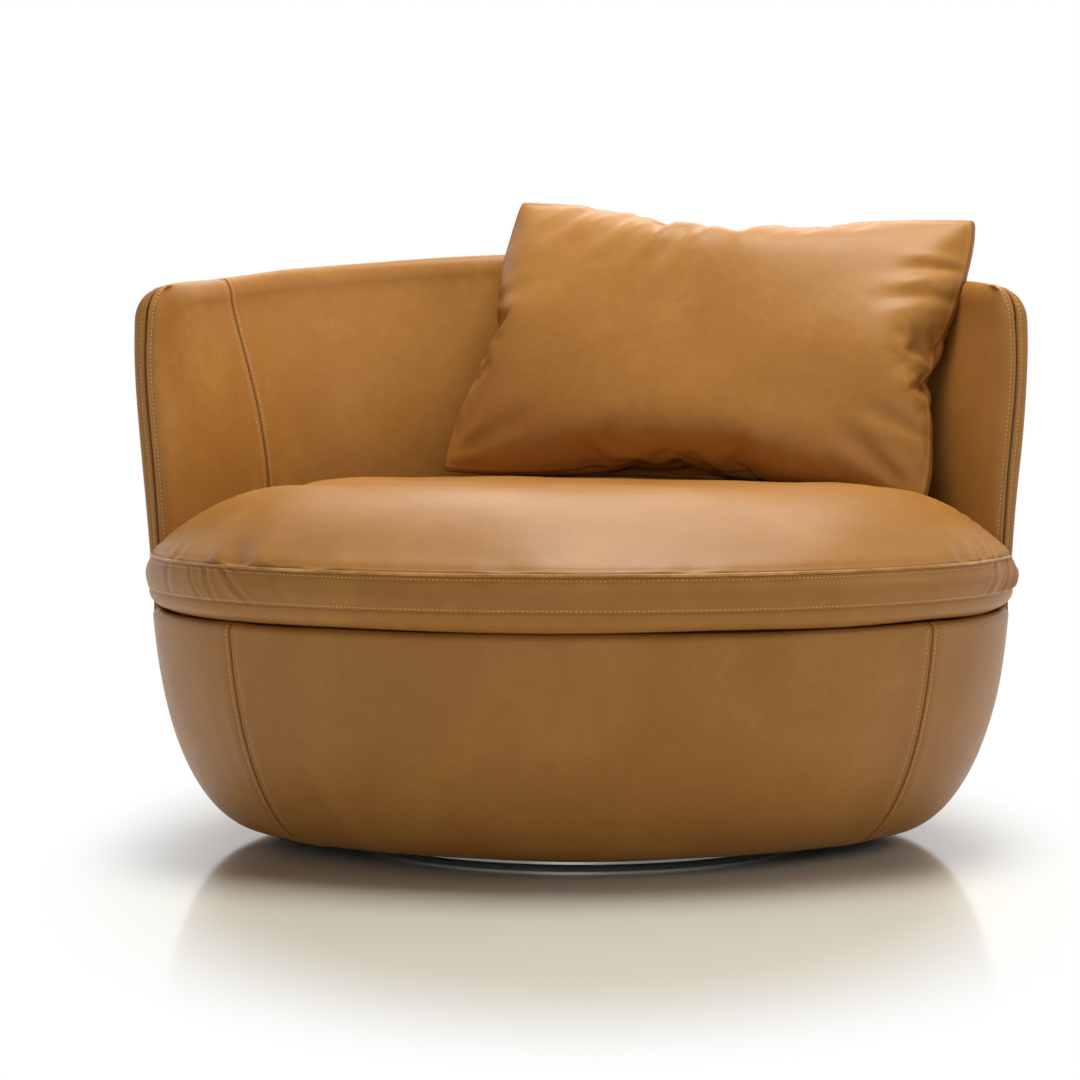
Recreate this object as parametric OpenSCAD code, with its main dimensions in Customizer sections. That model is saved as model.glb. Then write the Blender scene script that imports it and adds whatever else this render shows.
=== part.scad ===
// Swivel tub armchair with a loose round seat cushion and a loose pillow.
// Millimetres, +Z up. The origin is on the floor, on the swivel axis, and the chair faces -Y.
// A place on the tub is given by its turn from the front, 0 to 360 degrees by way of the right arm,
// and by its inset, the distance inwards from the widest outline.

/* [Tub plan] */
// Half of the tub's overall width
tub_half_w = 553.5; // [520:0.5:600]
// Half of the tub's overall depth
tub_half_d = 475; // [450:1:520]
// Radius of the arc at each side of the plan
side_arc_r = 420; // [390:1:430]

/* [Tub heights] */
// Height of the leather's lowest point over the floor
belly_z = 15; // [14:0.5:24]
// Height of the arms
arm_h = 695; // [640:1:740]
// Height of the back at its middle
back_h = 745; // [700:1:800]
// Turn from the front at which the rim starts to rise
rise_from = 98; // [92:1:120]
// Height of the leather edge in front of the seat cushion
base_h = 290; // [270:1:310]

/* [Outer wall] */
// Height of the bowl's rounded lower corner
corner_h = 265; // [200:1:300]
// Distance that the lower corner turns in
corner_in = 112.5; // [90:0.5:140]
// Fullness of the lower corner, 2 for an ellipse
corner_power = 2.09; // [1.8:0.01:2.6]
// Distance that the wall would lean in by floor level
lean_in = 46; // [20:1:60]
// Height under which the wall leans in
lean_top = 620; // [560:1:640]
// Curve of the lean
lean_power = 1.6; // [1.2:0.05:2]
// Width of the leather that is turned in under the tub
hem_w = 18; // [12:1:30]

/* [Inner wall and rim] */
// Thickness of the rolled rim
rim_t = 48; // [40:1:60]
// Thickness of the arms beside the seat
arm_wall_t = 84; // [76:1:100]
// Thickness of the back behind the seat
back_wall_t = 95; // [84:1:110]
// Curve of the inner wall as it thins towards the rim
inner_power = 1.75; // [1.4:0.05:2.2]
// Height at which the inner wall starts to thin
thin_from = 437; // [420:1:460]
// Turn from the front at which the arms end
arm_turn = 88; // [86:0.5:90]
// Distance that the rounded arm front reaches forward
nose_reach = 24; // [18:1:26]

/* [Upholstery] */
// Thickness of the leather
leather_t = 2; // [1.4:0.1:2.4]
// Gap between soft layers
layer_gap = 0.3; // [0.2:0.05:0.4]
// Turn of the vertical seams at the two front corners
front_seam_turn = 44; // [40:1:50]
// Turn of the vertical seams at the two back corners
back_seam_turn = 136; // [130:1:140]
// Turn of the inner seams between the arms and the back
inner_seam_turn = 120; // [112:1:128]

/* [Shells and boards] */
// Thickness of the moulded shells
shell_t = 12; // [10:1:14]
// Distance from the rim down to the top of the back shell
shell_drop = 34; // [30:1:44]
// Thickness of the base board
board_t = 18; // [15:1:21]
// Inset of the base board's edge
board_in = 158; // [157:1:170]
// Thickness of the deck ring
ring_t = 18; // [15:1:21]
// Inset of the deck ring's inner edge
ring_in = 140; // [130:1:150]
// Number of ribs between the base board and the deck ring
rib_count = 8; // [6:1:12]
// Thickness of a rib
rib_t = 18; // [12:1:21]
// Depth of a rib from the shell towards the middle
rib_depth = 60; // [40:1:80]
// Radius of the rolled leather edge in front of the cushion
edge_r = 10; // [8:1:12]

/* [Seat deck] */
// Width of an elastic strap
strap_w = 60; // [40:5:70]
// Thickness of an elastic strap
strap_t = 1.5; // [1:0.1:2]
// Distance between strap centres
strap_pitch = 95; // [80:5:120]
// Thickness of the lining cloth
cloth_t = 1; // [0.8:0.1:1.4]

/* [Seat cushion] */
// Height of the cushion's flat underside
seat_low = 298; // [296:0.5:310]
// Height of the border band's lower seam over the underside
seam_rise = 17; // [12:1:22]
// Height of the border band
band_h = 42; // [34:1:50]
// Height of the crown over the welt
crown_rise = 84; // [60:1:90]
// Distance over which the crown rises at the front
front_roll = 200; // [150:5:240]
// Distance over which the crown rises along the walls
wall_roll = 80; // [60:5:120]
// Distance that the cushion stands out past the tub at the front
seat_proud = 5; // [0:0.5:8]
// Inset of the cushion's edge in front of the arms
ear_in = 5; // [3:0.5:12]
// Radius of the cushion's corners in front of the arms
ear_r = 16; // [14:1:22]
// Gap between the cushion's corners and the arm fronts
ear_gap = 3; // [1:0.5:6]
// Room for the zip between the cushion and the flats of the back
zip_room = 3.6; // [3.4:0.1:8]
// Distance that the cushion's edges are drawn in at its seams
draw_in = 6; // [4:0.5:8]
// Radius of the welt
welt_r = 2.2; // [1.8:0.1:2.4]

/* [Zip] */
// Width of the zip tape
zip_w = 24; // [20:1:28]
// Half of the angle that the zip spans round the cushion's back
zip_half = 34; // [20:1:38]
// Length of the zip slider
slider_l = 14; // [10:1:18]

/* [Pillow] */
// Width of the pillow between its corners
pillow_w = 662; // [560:1:680]
// Height of the pillow between its corners
pillow_h = 400; // [340:1:430]
// Thickness of the pillow at its middle
pillow_t = 150; // [110:1:160]
// Distance that the pillow's sides are drawn in between its corners
pillow_pull = 15; // [8:1:20]
// Thickness of the pillow's border strip
pillow_edge = 14; // [10:1:18]
// Turn of the pillow towards the right arm
pillow_turn = 21; // [16:1:24]
// Angle at which the pillow leans back
pillow_lean = 23; // [20:1:28]
// Tilt of the pillow down to the right
pillow_tilt = 3.7; // [2:0.1:6]
// Distance from the tub's right side to the pillow's right edge
pillow_side_gap = 76; // [70:1:100]
// Distance from the tub's back to the pillow's middle
pillow_back_gap = 288; // [270:1:320]
// Height of the pillow's lower edge over the cushion's crown
pillow_rise = 12.2; // [12.1:0.1:20]

/* [Swivel] */
// Radius of the floor disc
disc_r = 285; // [250:1:300]
// Thickness of the floor disc
disc_t = 6; // [5:0.5:8]
// Height of a glide under the disc
glide_t = 3; // [2:0.5:4]
// Radius of a glide
glide_r = 12; // [10:1:20]
// Number of glides round the disc
glide_count = 8; // [6:1:12]
// Radius of the ball circle
track_r = 134; // [120:1:150]
// Radius of a bearing ball
ball_r = 4; // [3.5:0.25:4.5]
// Number of bearing balls
ball_count = 24; // [12:1:36]
// Half of the width of a bearing race
race_half_w = 20; // [16:1:24]
// Radius of the plate under the base board
plate_r = 225; // [210:1:235]
// Thickness of that plate
plate_t = 4; // [3:0.5:5]
// Radius of the swivel spindle
spindle_r = 12; // [10:0.5:16]
// Running clearance of the spindle and the balls
run_gap = 0.05; // [0.02:0.01:0.09]
// Radius of the circle of bolts that hold the board
bolt_circle_r = 195; // [185:1:200]
// Number of those bolts
bolt_count = 6; // [4:1:8]
// Radius of a board bolt's shank
bolt_r = 4; // [3:0.5:5]

/* [Hidden] */
$fn = 64;

// Plan of the tub: two arcs at the sides and a flatter one at the front and the back
side_c = tub_half_w - side_arc_r;
end_arc_r = (side_c * side_c + tub_half_d * tub_half_d - side_arc_r * side_arc_r)
    / (2 * (tub_half_d - side_arc_r));
end_c = end_arc_r - tub_half_d;
join_turn = atan2(side_c, end_c);

// Heights that follow from the pieces below
corner_z = belly_z + corner_h;
ring_top = base_h - edge_r;
wall_low = ring_top + layer_gap;
disc_top = glide_t + disc_t;
board_low = belly_z + leather_t + layer_gap + shell_t + layer_gap;
board_top = board_low + board_t;
plate_low = board_low - plate_t;
track_z = (disc_top + plate_low) / 2;
race_split = 0.5;
rim_r = rim_t / 2;
shell_out = leather_t + layer_gap;
shell_inner = shell_out + shell_t;
foam_out = shell_inner + 2 * layer_gap;

// Heights of the seat
deck_top = seat_low - layer_gap;
pad_low = ring_top + 2 * strap_t + layer_gap;
pad_top = deck_top - cloth_t - layer_gap;
seam_z = seat_low + seam_rise;
welt_z = seam_z + band_h;
band_mid_z = seam_z + band_h / 2;
crown_z = welt_z + crown_rise;

function mix(a, b, t) = a + (b - a) * t;
function run(from, to, count) = [for (i = [0:count]) mix(from, to, i / count)];
function tail(list) = [for (i = [1:len(list) - 1]) list[i]];

// Steps round the plan. Every layer of the tub has its corners at the same turns, so that
// the layers stay parallel.
low_split = 1.8;
shell_start = 3;
front_run = run(0, front_seam_turn, 5);
side_run = run(front_seam_turn, arm_turn - low_split, 4);
arm_run = run(arm_turn + shell_start, inner_seam_turn, 3);
seam_run = run(inner_seam_turn, back_seam_turn, 2);
back_run = run(back_seam_turn, 180, 4);
behind_run = concat(arm_run, tail(seam_run), tail(back_run));
wall_run = concat([arm_turn], behind_run);
half_run = concat(front_run, tail(side_run), wall_run);
ring_turns = concat(half_run, [for (i = [len(half_run) - 2:-1:1]) 360 - half_run[i]]);
function across(list) = concat(list, [for (i = [len(list) - 2:-1:0]) 360 - list[i]]);
corner_steps = [90, 80, 70, 59, 47, 35, 22, 9];

function limit(t) = max(0, min(1, t));
function ease(t) = let (c = limit(t)) c * c * (3 - 2 * c);
function fold(turn) = turn > 180 ? 360 - turn : turn;

// A point of the plan at a turn and an inset
function plan_pt(turn, inset) =
    let (p = turn > 180 ? turn - 360 : turn, m = abs(p))
    m <= join_turn ? [(end_arc_r - inset) * sin(p), end_c - (end_arc_r - inset) * cos(p)]
    : m >= 180 - join_turn ? [(end_arc_r - inset) * sin(p), -end_c - (end_arc_r - inset) * cos(p)]
    : [sign(p) * side_c + (side_arc_r - inset) * sin(p), -(side_arc_r - inset) * cos(p)];
function plan_pt3(turn, at) = let (p = plan_pt(turn, at[0])) [p[0], p[1], at[1]];

// Half of the plan's width at y, and half of its depth at x, both at an inset
function plan_x(y, inset) =
    let (x = sqrt(max(0, pow(side_arc_r - inset, 2) - y * y)) + side_c)
    x > (end_arc_r - inset) * sin(join_turn)
        ? x
        : sqrt(max(0, pow(end_arc_r - inset, 2) - pow(abs(y) + end_c, 2)));
function plan_y(x, inset) =
    abs(x) < (end_arc_r - inset) * sin(join_turn)
        ? sqrt(pow(end_arc_r - inset, 2) - x * x) - end_c
        : sqrt(max(0, pow(side_arc_r - inset, 2) - pow(abs(x) - side_c, 2)));

// Outer wall: the inset at a height, and the lower corner by its angle, 90 at the bottom
function lean(z) = lean_in * pow(limit((lean_top - z) / lean_top), lean_power);
function corner_at(a) =
    let (z = corner_z - corner_h * pow(sin(a), 2 / corner_power))
    [lean(z) + corner_in * (1 - pow(max(0, cos(a)), 2 / corner_power)), z];

// The lower corner moved inwards along its own normal
function corner_offset(a, off) =
    let (
        p = corner_at(a),
        step = 0.5,
        q = corner_at(min(90, a + step)) - corner_at(max(0, a - step)),
        n = a >= 90 ? [0, 1] : [-q[1], q[0]] / norm(q)
    )
    [p[0] + off * n[0], p[1] + off * n[1]];
function hem_at(off) = [lean(belly_z) + corner_in + hem_w, belly_z + off];

// Profile of the tub under the seat, from the hem up to the top of the lower corner
function low_profile(off) = concat([hem_at(off)], [for (a = corner_steps) corner_offset(a, off)]);

// Height of the rim, thickness of the wall beside the seat and inset of the inner wall
function rim_z(turn) = mix(arm_h, back_h, ease((fold(turn) - rise_from) / (180 - rise_from)));
thick_from = 90;
thick_run = 35;
function wall_t(turn) = mix(arm_wall_t, back_wall_t, ease((fold(turn) - thick_from) / thick_run));
function inner_in(turn, z) =
    let (t = limit((z - thin_from) / (rim_z(turn) - rim_r - thin_from)))
    wall_t(turn) - (wall_t(turn) - rim_t) * pow(t, inner_power);

// A level of the upper wall: 0 at the deck, 1 where the rim's roll starts, 2 on top of the roll.
// It gives the height, the middle of the wall and half of its thickness.
function level(turn, k, off) =
    let (z_roll = rim_z(turn) - rim_r, roll = 90 * (k - 1), z = mix(wall_low, z_roll, k))
    k <= 1
        ? [z, (lean(z) + inner_in(turn, z)) / 2, (inner_in(turn, z) - lean(z)) / 2 - off, 1]
        : [z_roll + (rim_r - off) * sin(roll), rim_r, (rim_r - off) * cos(roll), cos(roll)];

// A point of the upper wall: side 0 is the outer face, 180 the inner face, between them is the nose
function wall_pt(turn, side, k, off) =
    let (
        v = level(turn, k, off),
        p = plan_pt(turn, v[1] - v[2] * cos(side)),
        reach = (nose_reach - off) * sin(side) * v[3]
    )
    [p[0] - reach * cos(turn), p[1] - reach * sin(turn), v[0]];

// A closed solid between two grids of points with the same rows and columns.
// The rows run along the plan from the right to the left, and the first row is the lowest.
module slab(outer, inner) {
    rows = len(outer);
    cols = len(outer[0]);
    all = rows * cols;
    points = [for (g = [outer, inner], r = g, p = r) p];
    face = [for (i = [0:rows - 2], j = [0:cols - 2]) let (a = i * cols + j, b = a + cols)
        each [[a, b, b + 1], [a, b + 1, a + 1]]];
    back = [for (f = face) [f[2] + all, f[1] + all, f[0] + all]];
    low = [for (j = [0:cols - 2]) each [[j, j + 1, j + 1 + all], [j, j + 1 + all, j + all]]];
    top_row = all - cols;
    top = [for (j = [top_row:all - 2])
        each [[j + 1, j, j + all], [j + 1, j + all, j + 1 + all]]];
    first = [for (i = [0:rows - 2]) let (a = i * cols, b = a + cols)
        each [[b, a, a + all], [b, a + all, b + all]]];
    last = [for (i = [0:rows - 2]) let (a = i * cols + cols - 1, b = a + cols)
        each [[a, b, b + all], [a, b + all, a + all]]];
    polyhedron(points, concat(face, back, low, top, first, last));
}

// A closed solid between two grids whose rows are closed loops
module loop_slab(outer, inner) {
    rows = len(outer);
    cols = len(outer[0]);
    all = rows * cols;
    points = [for (g = [outer, inner], r = g, p = r) p];
    face = [for (i = [0:rows - 2], j = [0:cols - 1])
        let (a = i * cols + j, c = i * cols + (j + 1) % cols, b = a + cols, d = c + cols)
        each [[a, b, d], [a, d, c]]];
    back = [for (f = face) [f[2] + all, f[1] + all, f[0] + all]];
    low = [for (j = [0:cols - 1]) let (c = (j + 1) % cols)
        each [[j, c, c + all], [j, c + all, j + all]]];
    top_row = all - cols;
    top = [for (j = [0:cols - 1]) let (a = top_row + j, c = top_row + (j + 1) % cols)
        each [[c, a, a + all], [c, a + all, c + all]]];
    polyhedron(points, concat(face, back, low, top));
}

// A closed solid through a stack of loops, closed by a fan to a point under and over it
module loop_stack(loops, under, over) {
    cols = len(loops[0]);
    all = len(loops) * cols;
    points = concat([for (r = loops, p = r) p], [under, over]);
    face = [for (i = [0:len(loops) - 2], j = [0:cols - 1])
        let (a = i * cols + j, c = i * cols + (j + 1) % cols, b = a + cols, d = c + cols)
        each [[a, b, d], [a, d, c]]];
    low = [for (j = [0:cols - 1]) [j, (j + 1) % cols, all]];
    top = [for (j = [0:cols - 1]) [all - cols + (j + 1) % cols, all - cols + j, all + 1]];
    polyhedron(points, concat(face, low, top));
}

// A dished sheet: loops from the rim inwards to a tip, on an outer and an inner surface
module dish(outer, inner, outer_tip, inner_tip) {
    rows = len(outer);
    cols = len(outer[0]);
    all = rows * cols;
    points = concat([for (g = [outer, inner], r = g, p = r) p], [outer_tip, inner_tip]);
    face = [for (i = [0:rows - 2], j = [0:cols - 1])
        let (a = i * cols + j, c = i * cols + (j + 1) % cols, b = a + cols, d = c + cols)
        each [[a, b, d], [a, d, c]]];
    tip = [for (j = [0:cols - 1])
        [all - cols + (j + 1) % cols, all - cols + j, 2 * all]];
    back = [for (f = face) [f[2] + all, f[1] + all, f[0] + all]];
    back_tip = [for (f = tip) [f[1] + all, f[0] + all, 2 * all + 1]];
    low = [for (j = [0:cols - 1]) let (c = (j + 1) % cols)
        each [[j, c, c + all], [j, c + all, j + all]]];
    polyhedron(points, concat(face, tip, back, back_tip, low));
}

// Plan outline at an inset as a flat shape
module plan_shape(inset) {
    polygon([for (t = ring_turns) plan_pt(t, inset)]);
}

// Equal places round the swivel axis
module around(count, r) {
    for (i = [0:count - 1]) rotate([0, 0, i * 360 / count]) translate([r, 0, 0]) children();
}

// Floor base
module floor_disc() {
    chamfer = 1.5;
    color("#9a9c98") difference() {
        rotate_extrude($fn = 128) polygon([
            [0, glide_t], [disc_r - chamfer, glide_t], [disc_r, glide_t + chamfer],
            [disc_r, disc_top - chamfer], [disc_r - chamfer, disc_top], [0, disc_top]
        ]);
        around(screw_count, screw_circle_r) race_screw_hole();
        translate([0, 0, glide_t - 1]) cylinder(r = spindle_r, h = disc_t + 2);
    }
}

screw_circle_r = track_r + race_half_w * 0.6;
screw_count = 6;
screw_r = 2.5;
screw_head_r = 5;
screw_head_h = 3;
screw_l = disc_t + 5;
module race_screw_hole() {
    translate([0, 0, glide_t - 1]) cylinder(r = screw_r, h = disc_t + 2);
    translate([0, 0, glide_t - 1]) cylinder(r = screw_head_r, h = screw_head_h + 1);
}

module floor_glides() {
    color("#2b2a28") {
        cylinder(r = glide_r, h = glide_t);
        around(glide_count, disc_r - 2 * glide_r) cylinder(r = glide_r, h = glide_t);
    }
}

spindle_top = board_low + 12;
module spindle() {
    color("#8d8f8e") {
        translate([0, 0, glide_t]) cylinder(r = spindle_r, h = spindle_top - glide_t);
    }
}

nut_h = 8;
nut_r = spindle_r * 1.7;
module spindle_nut() {
    color("#7d7f80") translate([0, 0, board_low + layer_gap]) difference() {
        cylinder(r = nut_r, h = nut_h, $fn = 6);
        translate([0, 0, -1]) cylinder(r = spindle_r, h = nut_h + 2);
    }
}

// One bearing race: a flat ring with a ball groove along its face
module race(low, high) {
    rotate_extrude($fn = 128) difference() {
        translate([track_r - race_half_w, low]) square([2 * race_half_w, high - low]);
        translate([track_r, track_z]) circle(r = ball_r + run_gap);
    }
}

module lower_race() {
    color("#6f7173") difference() {
        race(disc_top, track_z - race_split);
        around(screw_count, screw_circle_r) translate([0, 0, disc_top - 1])
            cylinder(r = screw_r, h = screw_l - disc_t + 1);
    }
}

module race_screws() {
    color("#55575a") around(screw_count, screw_circle_r) translate([0, 0, glide_t + 0.5]) {
        cylinder(r = screw_head_r - 0.1, h = screw_head_h - 0.5);
        cylinder(r = screw_r, h = screw_l - 0.5);
    }
}

module bearing_balls() {
    color("#c9cbcc") around(ball_count, track_r) translate([0, 0, track_z]) sphere(r = ball_r);
}

module ball_cage() {
    cage_h = 2 * race_split - 0.4;
    color("#b08d3c") difference() {
        translate([0, 0, track_z - cage_h / 2]) difference() {
            cylinder(r = track_r + ball_r * 1.9, h = cage_h, $fn = 128);
            translate([0, 0, -1]) cylinder(r = track_r - ball_r * 1.9, h = cage_h + 2, $fn = 128);
        }
        around(ball_count, track_r) translate([0, 0, track_z - 2])
            cylinder(r = ball_r + run_gap, h = 4);
    }
}

// Swivelling base
module upper_race() {
    color("#6f7173") race(track_z + race_split, plate_low);
}

module swivel_plate() {
    color("#3a3b3d") translate([0, 0, plate_low]) difference() {
        cylinder(r = plate_r, h = plate_t, $fn = 128);
        translate([0, 0, -1]) cylinder(r = spindle_r + run_gap, h = plate_t + 2);
        around(bolt_count, bolt_circle_r) translate([0, 0, -1]) cylinder(r = bolt_r, h = plate_t + 2);
    }
}

barrel_r = bolt_r + 2;
module base_board() {
    color("#c8a56e") translate([0, 0, board_low]) difference() {
        linear_extrude(board_t) plan_shape(board_in);
        translate([0, 0, -1]) cylinder(r = nut_r + 10, h = board_t + 2);
        around(bolt_count, bolt_circle_r) translate([0, 0, -1]) cylinder(r = barrel_r, h = board_t + 2);
    }
}

bolt_head_h = 5.3;
module board_bolts() {
    color("#55575a") around(bolt_count, bolt_circle_r) {
        translate([0, 0, plate_low - bolt_head_h])
            cylinder(r = bolt_r * 1.7, h = bolt_head_h, $fn = 6);
        translate([0, 0, plate_low - bolt_head_h])
            cylinder(r = bolt_r, h = bolt_head_h + plate_t + board_t + 4);
    }
}

module tee_nuts() {
    flange_t = 1.5;
    color("#a7a9aa") around(bolt_count, bolt_circle_r) translate([0, 0, board_low]) difference() {
        union() {
            cylinder(r = barrel_r, h = board_t);
            translate([0, 0, board_t]) cylinder(r = barrel_r * 1.9, h = flange_t);
        }
        translate([0, 0, -1]) cylinder(r = bolt_r, h = board_t + flange_t + 2);
    }
}

module dust_cover() {
    cover_t = 0.8;
    seam_w = 12;
    color("#1d1c1b") translate([0, 0, belly_z - cover_t]) linear_extrude(cover_t) difference() {
        plan_shape(hem_at(0)[0] - seam_w);
        circle(r = plate_r + 10, $fn = 128);
    }
}

// Moulded shells
module bowl_shell() {
    function grid(off) = [for (at = concat(low_profile(off), [[lean(ring_top) + off, ring_top]]))
        [for (t = ring_turns) plan_pt3(t, at)]];
    color("#a07c4c") loop_slab(grid(shell_out), grid(shell_inner));
}

module back_shell() {
    function grid(off) = [for (f = [0, 0.3, 0.55, 0.8, 1])
        [for (t = across(behind_run)) let (z = mix(ring_top, rim_z(t) - shell_drop, f))
            plan_pt3(t, [lean(z) + off, z])]];
    color("#a07c4c") slab(grid(shell_out), grid(shell_inner));
}

// Ribs of the base, shaped to the inside of the bowl
rib_fit = 4;
module base_ribs() {
    rib_out = foam_out + rib_fit;
    outline = [for (a = corner_steps) let (p = corner_offset(a, rib_out)) if (p[1] > board_top) p];
    foot = [for (p = outline) if (p[1] > board_top) p][0];
    rib_low_in = max(foot[0], board_in);
    points = concat(
        [[-rib_low_in - rib_depth, board_top], [-rib_low_in, board_top]],
        [for (p = outline) if (p[0] < rib_low_in) [-p[0], p[1]]],
        [[-lean(ring_top - ring_t) - rib_out, ring_top - ring_t], [-ring_in, ring_top - ring_t]]
    );
    color("#c8a56e") for (i = [0:rib_count - 1]) let (t = (i + 0.5) * 360 / rib_count)
        translate(concat(plan_pt(t, 0), 0)) rotate([90, 0, t - 90])
            linear_extrude(rib_t, center = true) polygon(points);
}

ring_fit = 1;
module deck_ring() {
    color("#c8a56e") translate([0, 0, ring_top - ring_t]) linear_extrude(ring_t) difference() {
        plan_shape(lean(ring_top - ring_t) + foam_out + ring_fit);
        plan_shape(ring_in);
    }
}

// Foam strip under the leather edge in front of the cushion
edge_pad_w = 22;
front_half = concat(front_run, tail(side_run));
front_turns = concat([for (i = [len(front_half) - 1:-1:1]) 360 - front_half[i]], front_half);
module edge_pad() {
    turns = [for (i = [1:len(front_turns) - 2]) front_turns[i]];
    edge_in = lean(ring_top) + edge_r + leather_t;
    pad_h = edge_r - leather_t - layer_gap;
    function row(inset, z) = [for (t = turns) plan_pt3(t, [inset, ring_top + z])];
    color("#e6d9a8") slab(
        [row(edge_in, 0.01), row(edge_in, pad_h)],
        [row(edge_in + edge_pad_w, 0.01), row(edge_in + edge_pad_w, pad_h)]
    );
}

// Seat deck: straps that cross, a felt pad and its lining
strap_end_in = back_wall_t + leather_t + 10;
module straps(along_y) {
    reach = along_y ? tub_half_w : tub_half_d;
    count = floor((reach - ring_in - strap_w) / strap_pitch);
    for (i = [-count:count]) let (
        at = i * strap_pitch,
        edge = abs(at) + strap_w / 2,
        half = along_y ? plan_y(edge, strap_end_in) : plan_x(edge, strap_end_in)
    ) translate(along_y ? [at - strap_w / 2, -half, 0] : [-half, at - strap_w / 2, 0])
        cube(along_y ? [strap_w, 2 * half, strap_t] : [2 * half, strap_w, strap_t]);
}

module straps_lengthwise() {
    color("#3b3a36") translate([0, 0, ring_top]) straps(true);
}

module straps_crosswise() {
    color("#4a4943") translate([0, 0, ring_top + strap_t]) straps(false);
}

deck_gap = 4;
deck_front_in = lean(ring_top) + edge_r + leather_t + edge_pad_w + deck_gap;
module deck_shape() {
    polygon([for (t = ring_turns)
        plan_pt(t, fold(t) < 75 ? deck_front_in : wall_t(t) + deck_gap)]);
}

module deck_pad() {
    color("#8f8b80") translate([0, 0, pad_low]) linear_extrude(pad_top - pad_low) deck_shape();
}

module deck_cloth() {
    color("#6b5233") translate([0, 0, pad_top + layer_gap]) linear_extrude(cloth_t) deck_shape();
}

// Foam of the upper wall. It wraps over the top and the front of the back shell. Foam and leather
// have their corners at the same sides of the nose, and their outer seam is at nose_split.
nose_split = 50;
foam_levels = [0, 0.25, 0.45, 0.6, 0.75, 0.88];
foam_roll = [1, 1.33, 1.66, 1.94];
foam_skin = leather_t + 2 * layer_gap;
shell_end = arm_turn + shell_start;
shell_end_room = 0.4;
function over_shell(turn, rise) =
    1 - (shell_drop - rim_r - rise) / (rim_z(turn) - rim_r - wall_low);
function foam_column(turn, side, outward) =
    let (covered = concat(foam_levels, [over_shell(turn, layer_gap)]), step = 1)
    concat(
        [for (k = covered) foam_pt(turn, side, k, outward, turn > shell_end - shell_end_room - 0.1)],
        [for (k = concat([over_shell(turn, step)], foam_roll)) foam_pt(turn, side, k, outward, false)]
    );
function foam_pt(turn, side, k, outward, behind_shell) =
    let (
        v = level(turn, k, foam_skin),
        p = wall_pt(turn, outward ? side : 180 - side, k, foam_skin),
        z = v[0],
        q = plan_pt(turn, lean(z) + foam_out)
    )
    outward && behind_shell ? [q[0], q[1], z] : p;
function by_rows(columns) = [for (i = [0:len(columns[0]) - 1]) [for (c = columns) c[i]]];

module arm_foam() {
    turns = concat(
        [arm_turn, shell_end - shell_end_room - 0.2, shell_end - shell_end_room], tail(arm_run)
    );
    function columns(outward) = concat(
        [for (side = [75, nose_split, 25]) foam_column(arm_turn, side, outward)],
        [for (t = turns) foam_column(t, 0, outward)]
    );
    slab(by_rows(columns(true)), by_rows(columns(false)));
}

module arm_foam_right() {
    color("#e6d9a8") arm_foam();
}

module arm_foam_left() {
    color("#e6d9a8") mirror([1, 0, 0]) arm_foam();
}

back_turns = across(concat(seam_run, tail(back_run)));
module back_foam() {
    function columns(outward) = [for (t = back_turns) foam_column(t, 0, outward)];
    color("#e6d9a8") slab(by_rows(columns(true)), by_rows(columns(false)));
}

// Leather of the outside. Its front edge lies on the nose and runs down over the base.
outer_levels = [0.02, 0.25, 0.5, 0.75, 0.88, 1, 1.33, 1.66, 1.98];
function outer_grid(places, off) = concat(
    [for (at = concat(low_profile(off), [[lean(wall_low) + off, wall_low]])) [for (p = places)
        plan_pt3(p[0] - low_split * p[1] / nose_split, at)]],
    [for (k = outer_levels) [for (p = places) wall_pt(p[0], p[1], k, off)]]
);
side_places = concat(
    [for (s = [nose_split, 25, 0]) [arm_turn, s]],
    [for (t = concat(arm_run, tail(seam_run))) [t, 0]]
);

module outer_cover_right() {
    color("#a8713a") slab(outer_grid(side_places, 0), outer_grid(side_places, leather_t));
}

module outer_cover_left() {
    color("#a8713a") mirror([1, 0, 0])
        slab(outer_grid(side_places, 0), outer_grid(side_places, leather_t));
}

module outer_cover_back() {
    places = [for (t = across(back_run)) [t, 0]];
    color("#a8713a") slab(outer_grid(places, 0), outer_grid(places, leather_t));
}

// Leather of the inside: the arm panels wrap the nose, and the back panel lies between the seams
inner_levels = [0.02, 0.25, 0.45, 0.6, 0.75, 0.88, 1, 1.33, 1.66, 1.98];
module arm_cover() {
    function grid(off) = [for (k = inner_levels) concat(
        [for (s = [nose_split + 1, 75, 105, 180 - nose_split, 155, 180]) wall_pt(arm_turn, s, k, off)],
        [for (t = arm_run) wall_pt(t, 180, k, off)]
    )];
    slab(grid(0), grid(leather_t));
}

module inner_cover_right() {
    color("#b87d42") arm_cover();
}

module inner_cover_left() {
    color("#b87d42") mirror([1, 0, 0]) arm_cover();
}

module inner_cover_back() {
    function grid(off) = [for (k = inner_levels) [for (t = back_turns) wall_pt(t, 180, k, off)]];
    color("#b87d42") slab(grid(leather_t), grid(0));
}

// Leather of the base in front: up from the hem, over the foam strip and down behind it
// Over the deck it stops short of the arm front.
flap_w = edge_r + edge_pad_w;
nose_turn = 2.2;
function base_profile(off) = concat(
    low_profile(off),
    [for (a = [0, 30, 60, 90]) [
        lean(ring_top) + edge_r - (edge_r - off) * cos(a), ring_top + (edge_r - off) * sin(a)
    ]],
    [[lean(ring_top) + flap_w, base_h - off]]
);
function base_grid(turns, off) = [for (at = base_profile(off)) [for (t = turns)
    plan_pt3(at[1] > ring_top + 0.1 ? min(t, arm_turn - low_split - nose_turn) : t, at)]];

module base_cover_front() {
    turns = concat([for (i = [len(front_run) - 1:-1:1]) -front_run[i]], front_run);
    function grid(off) = [for (at = base_profile(off)) [for (t = turns) plan_pt3(t, at)]];
    color("#b0763c") slab(grid(0), grid(leather_t));
}

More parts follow.
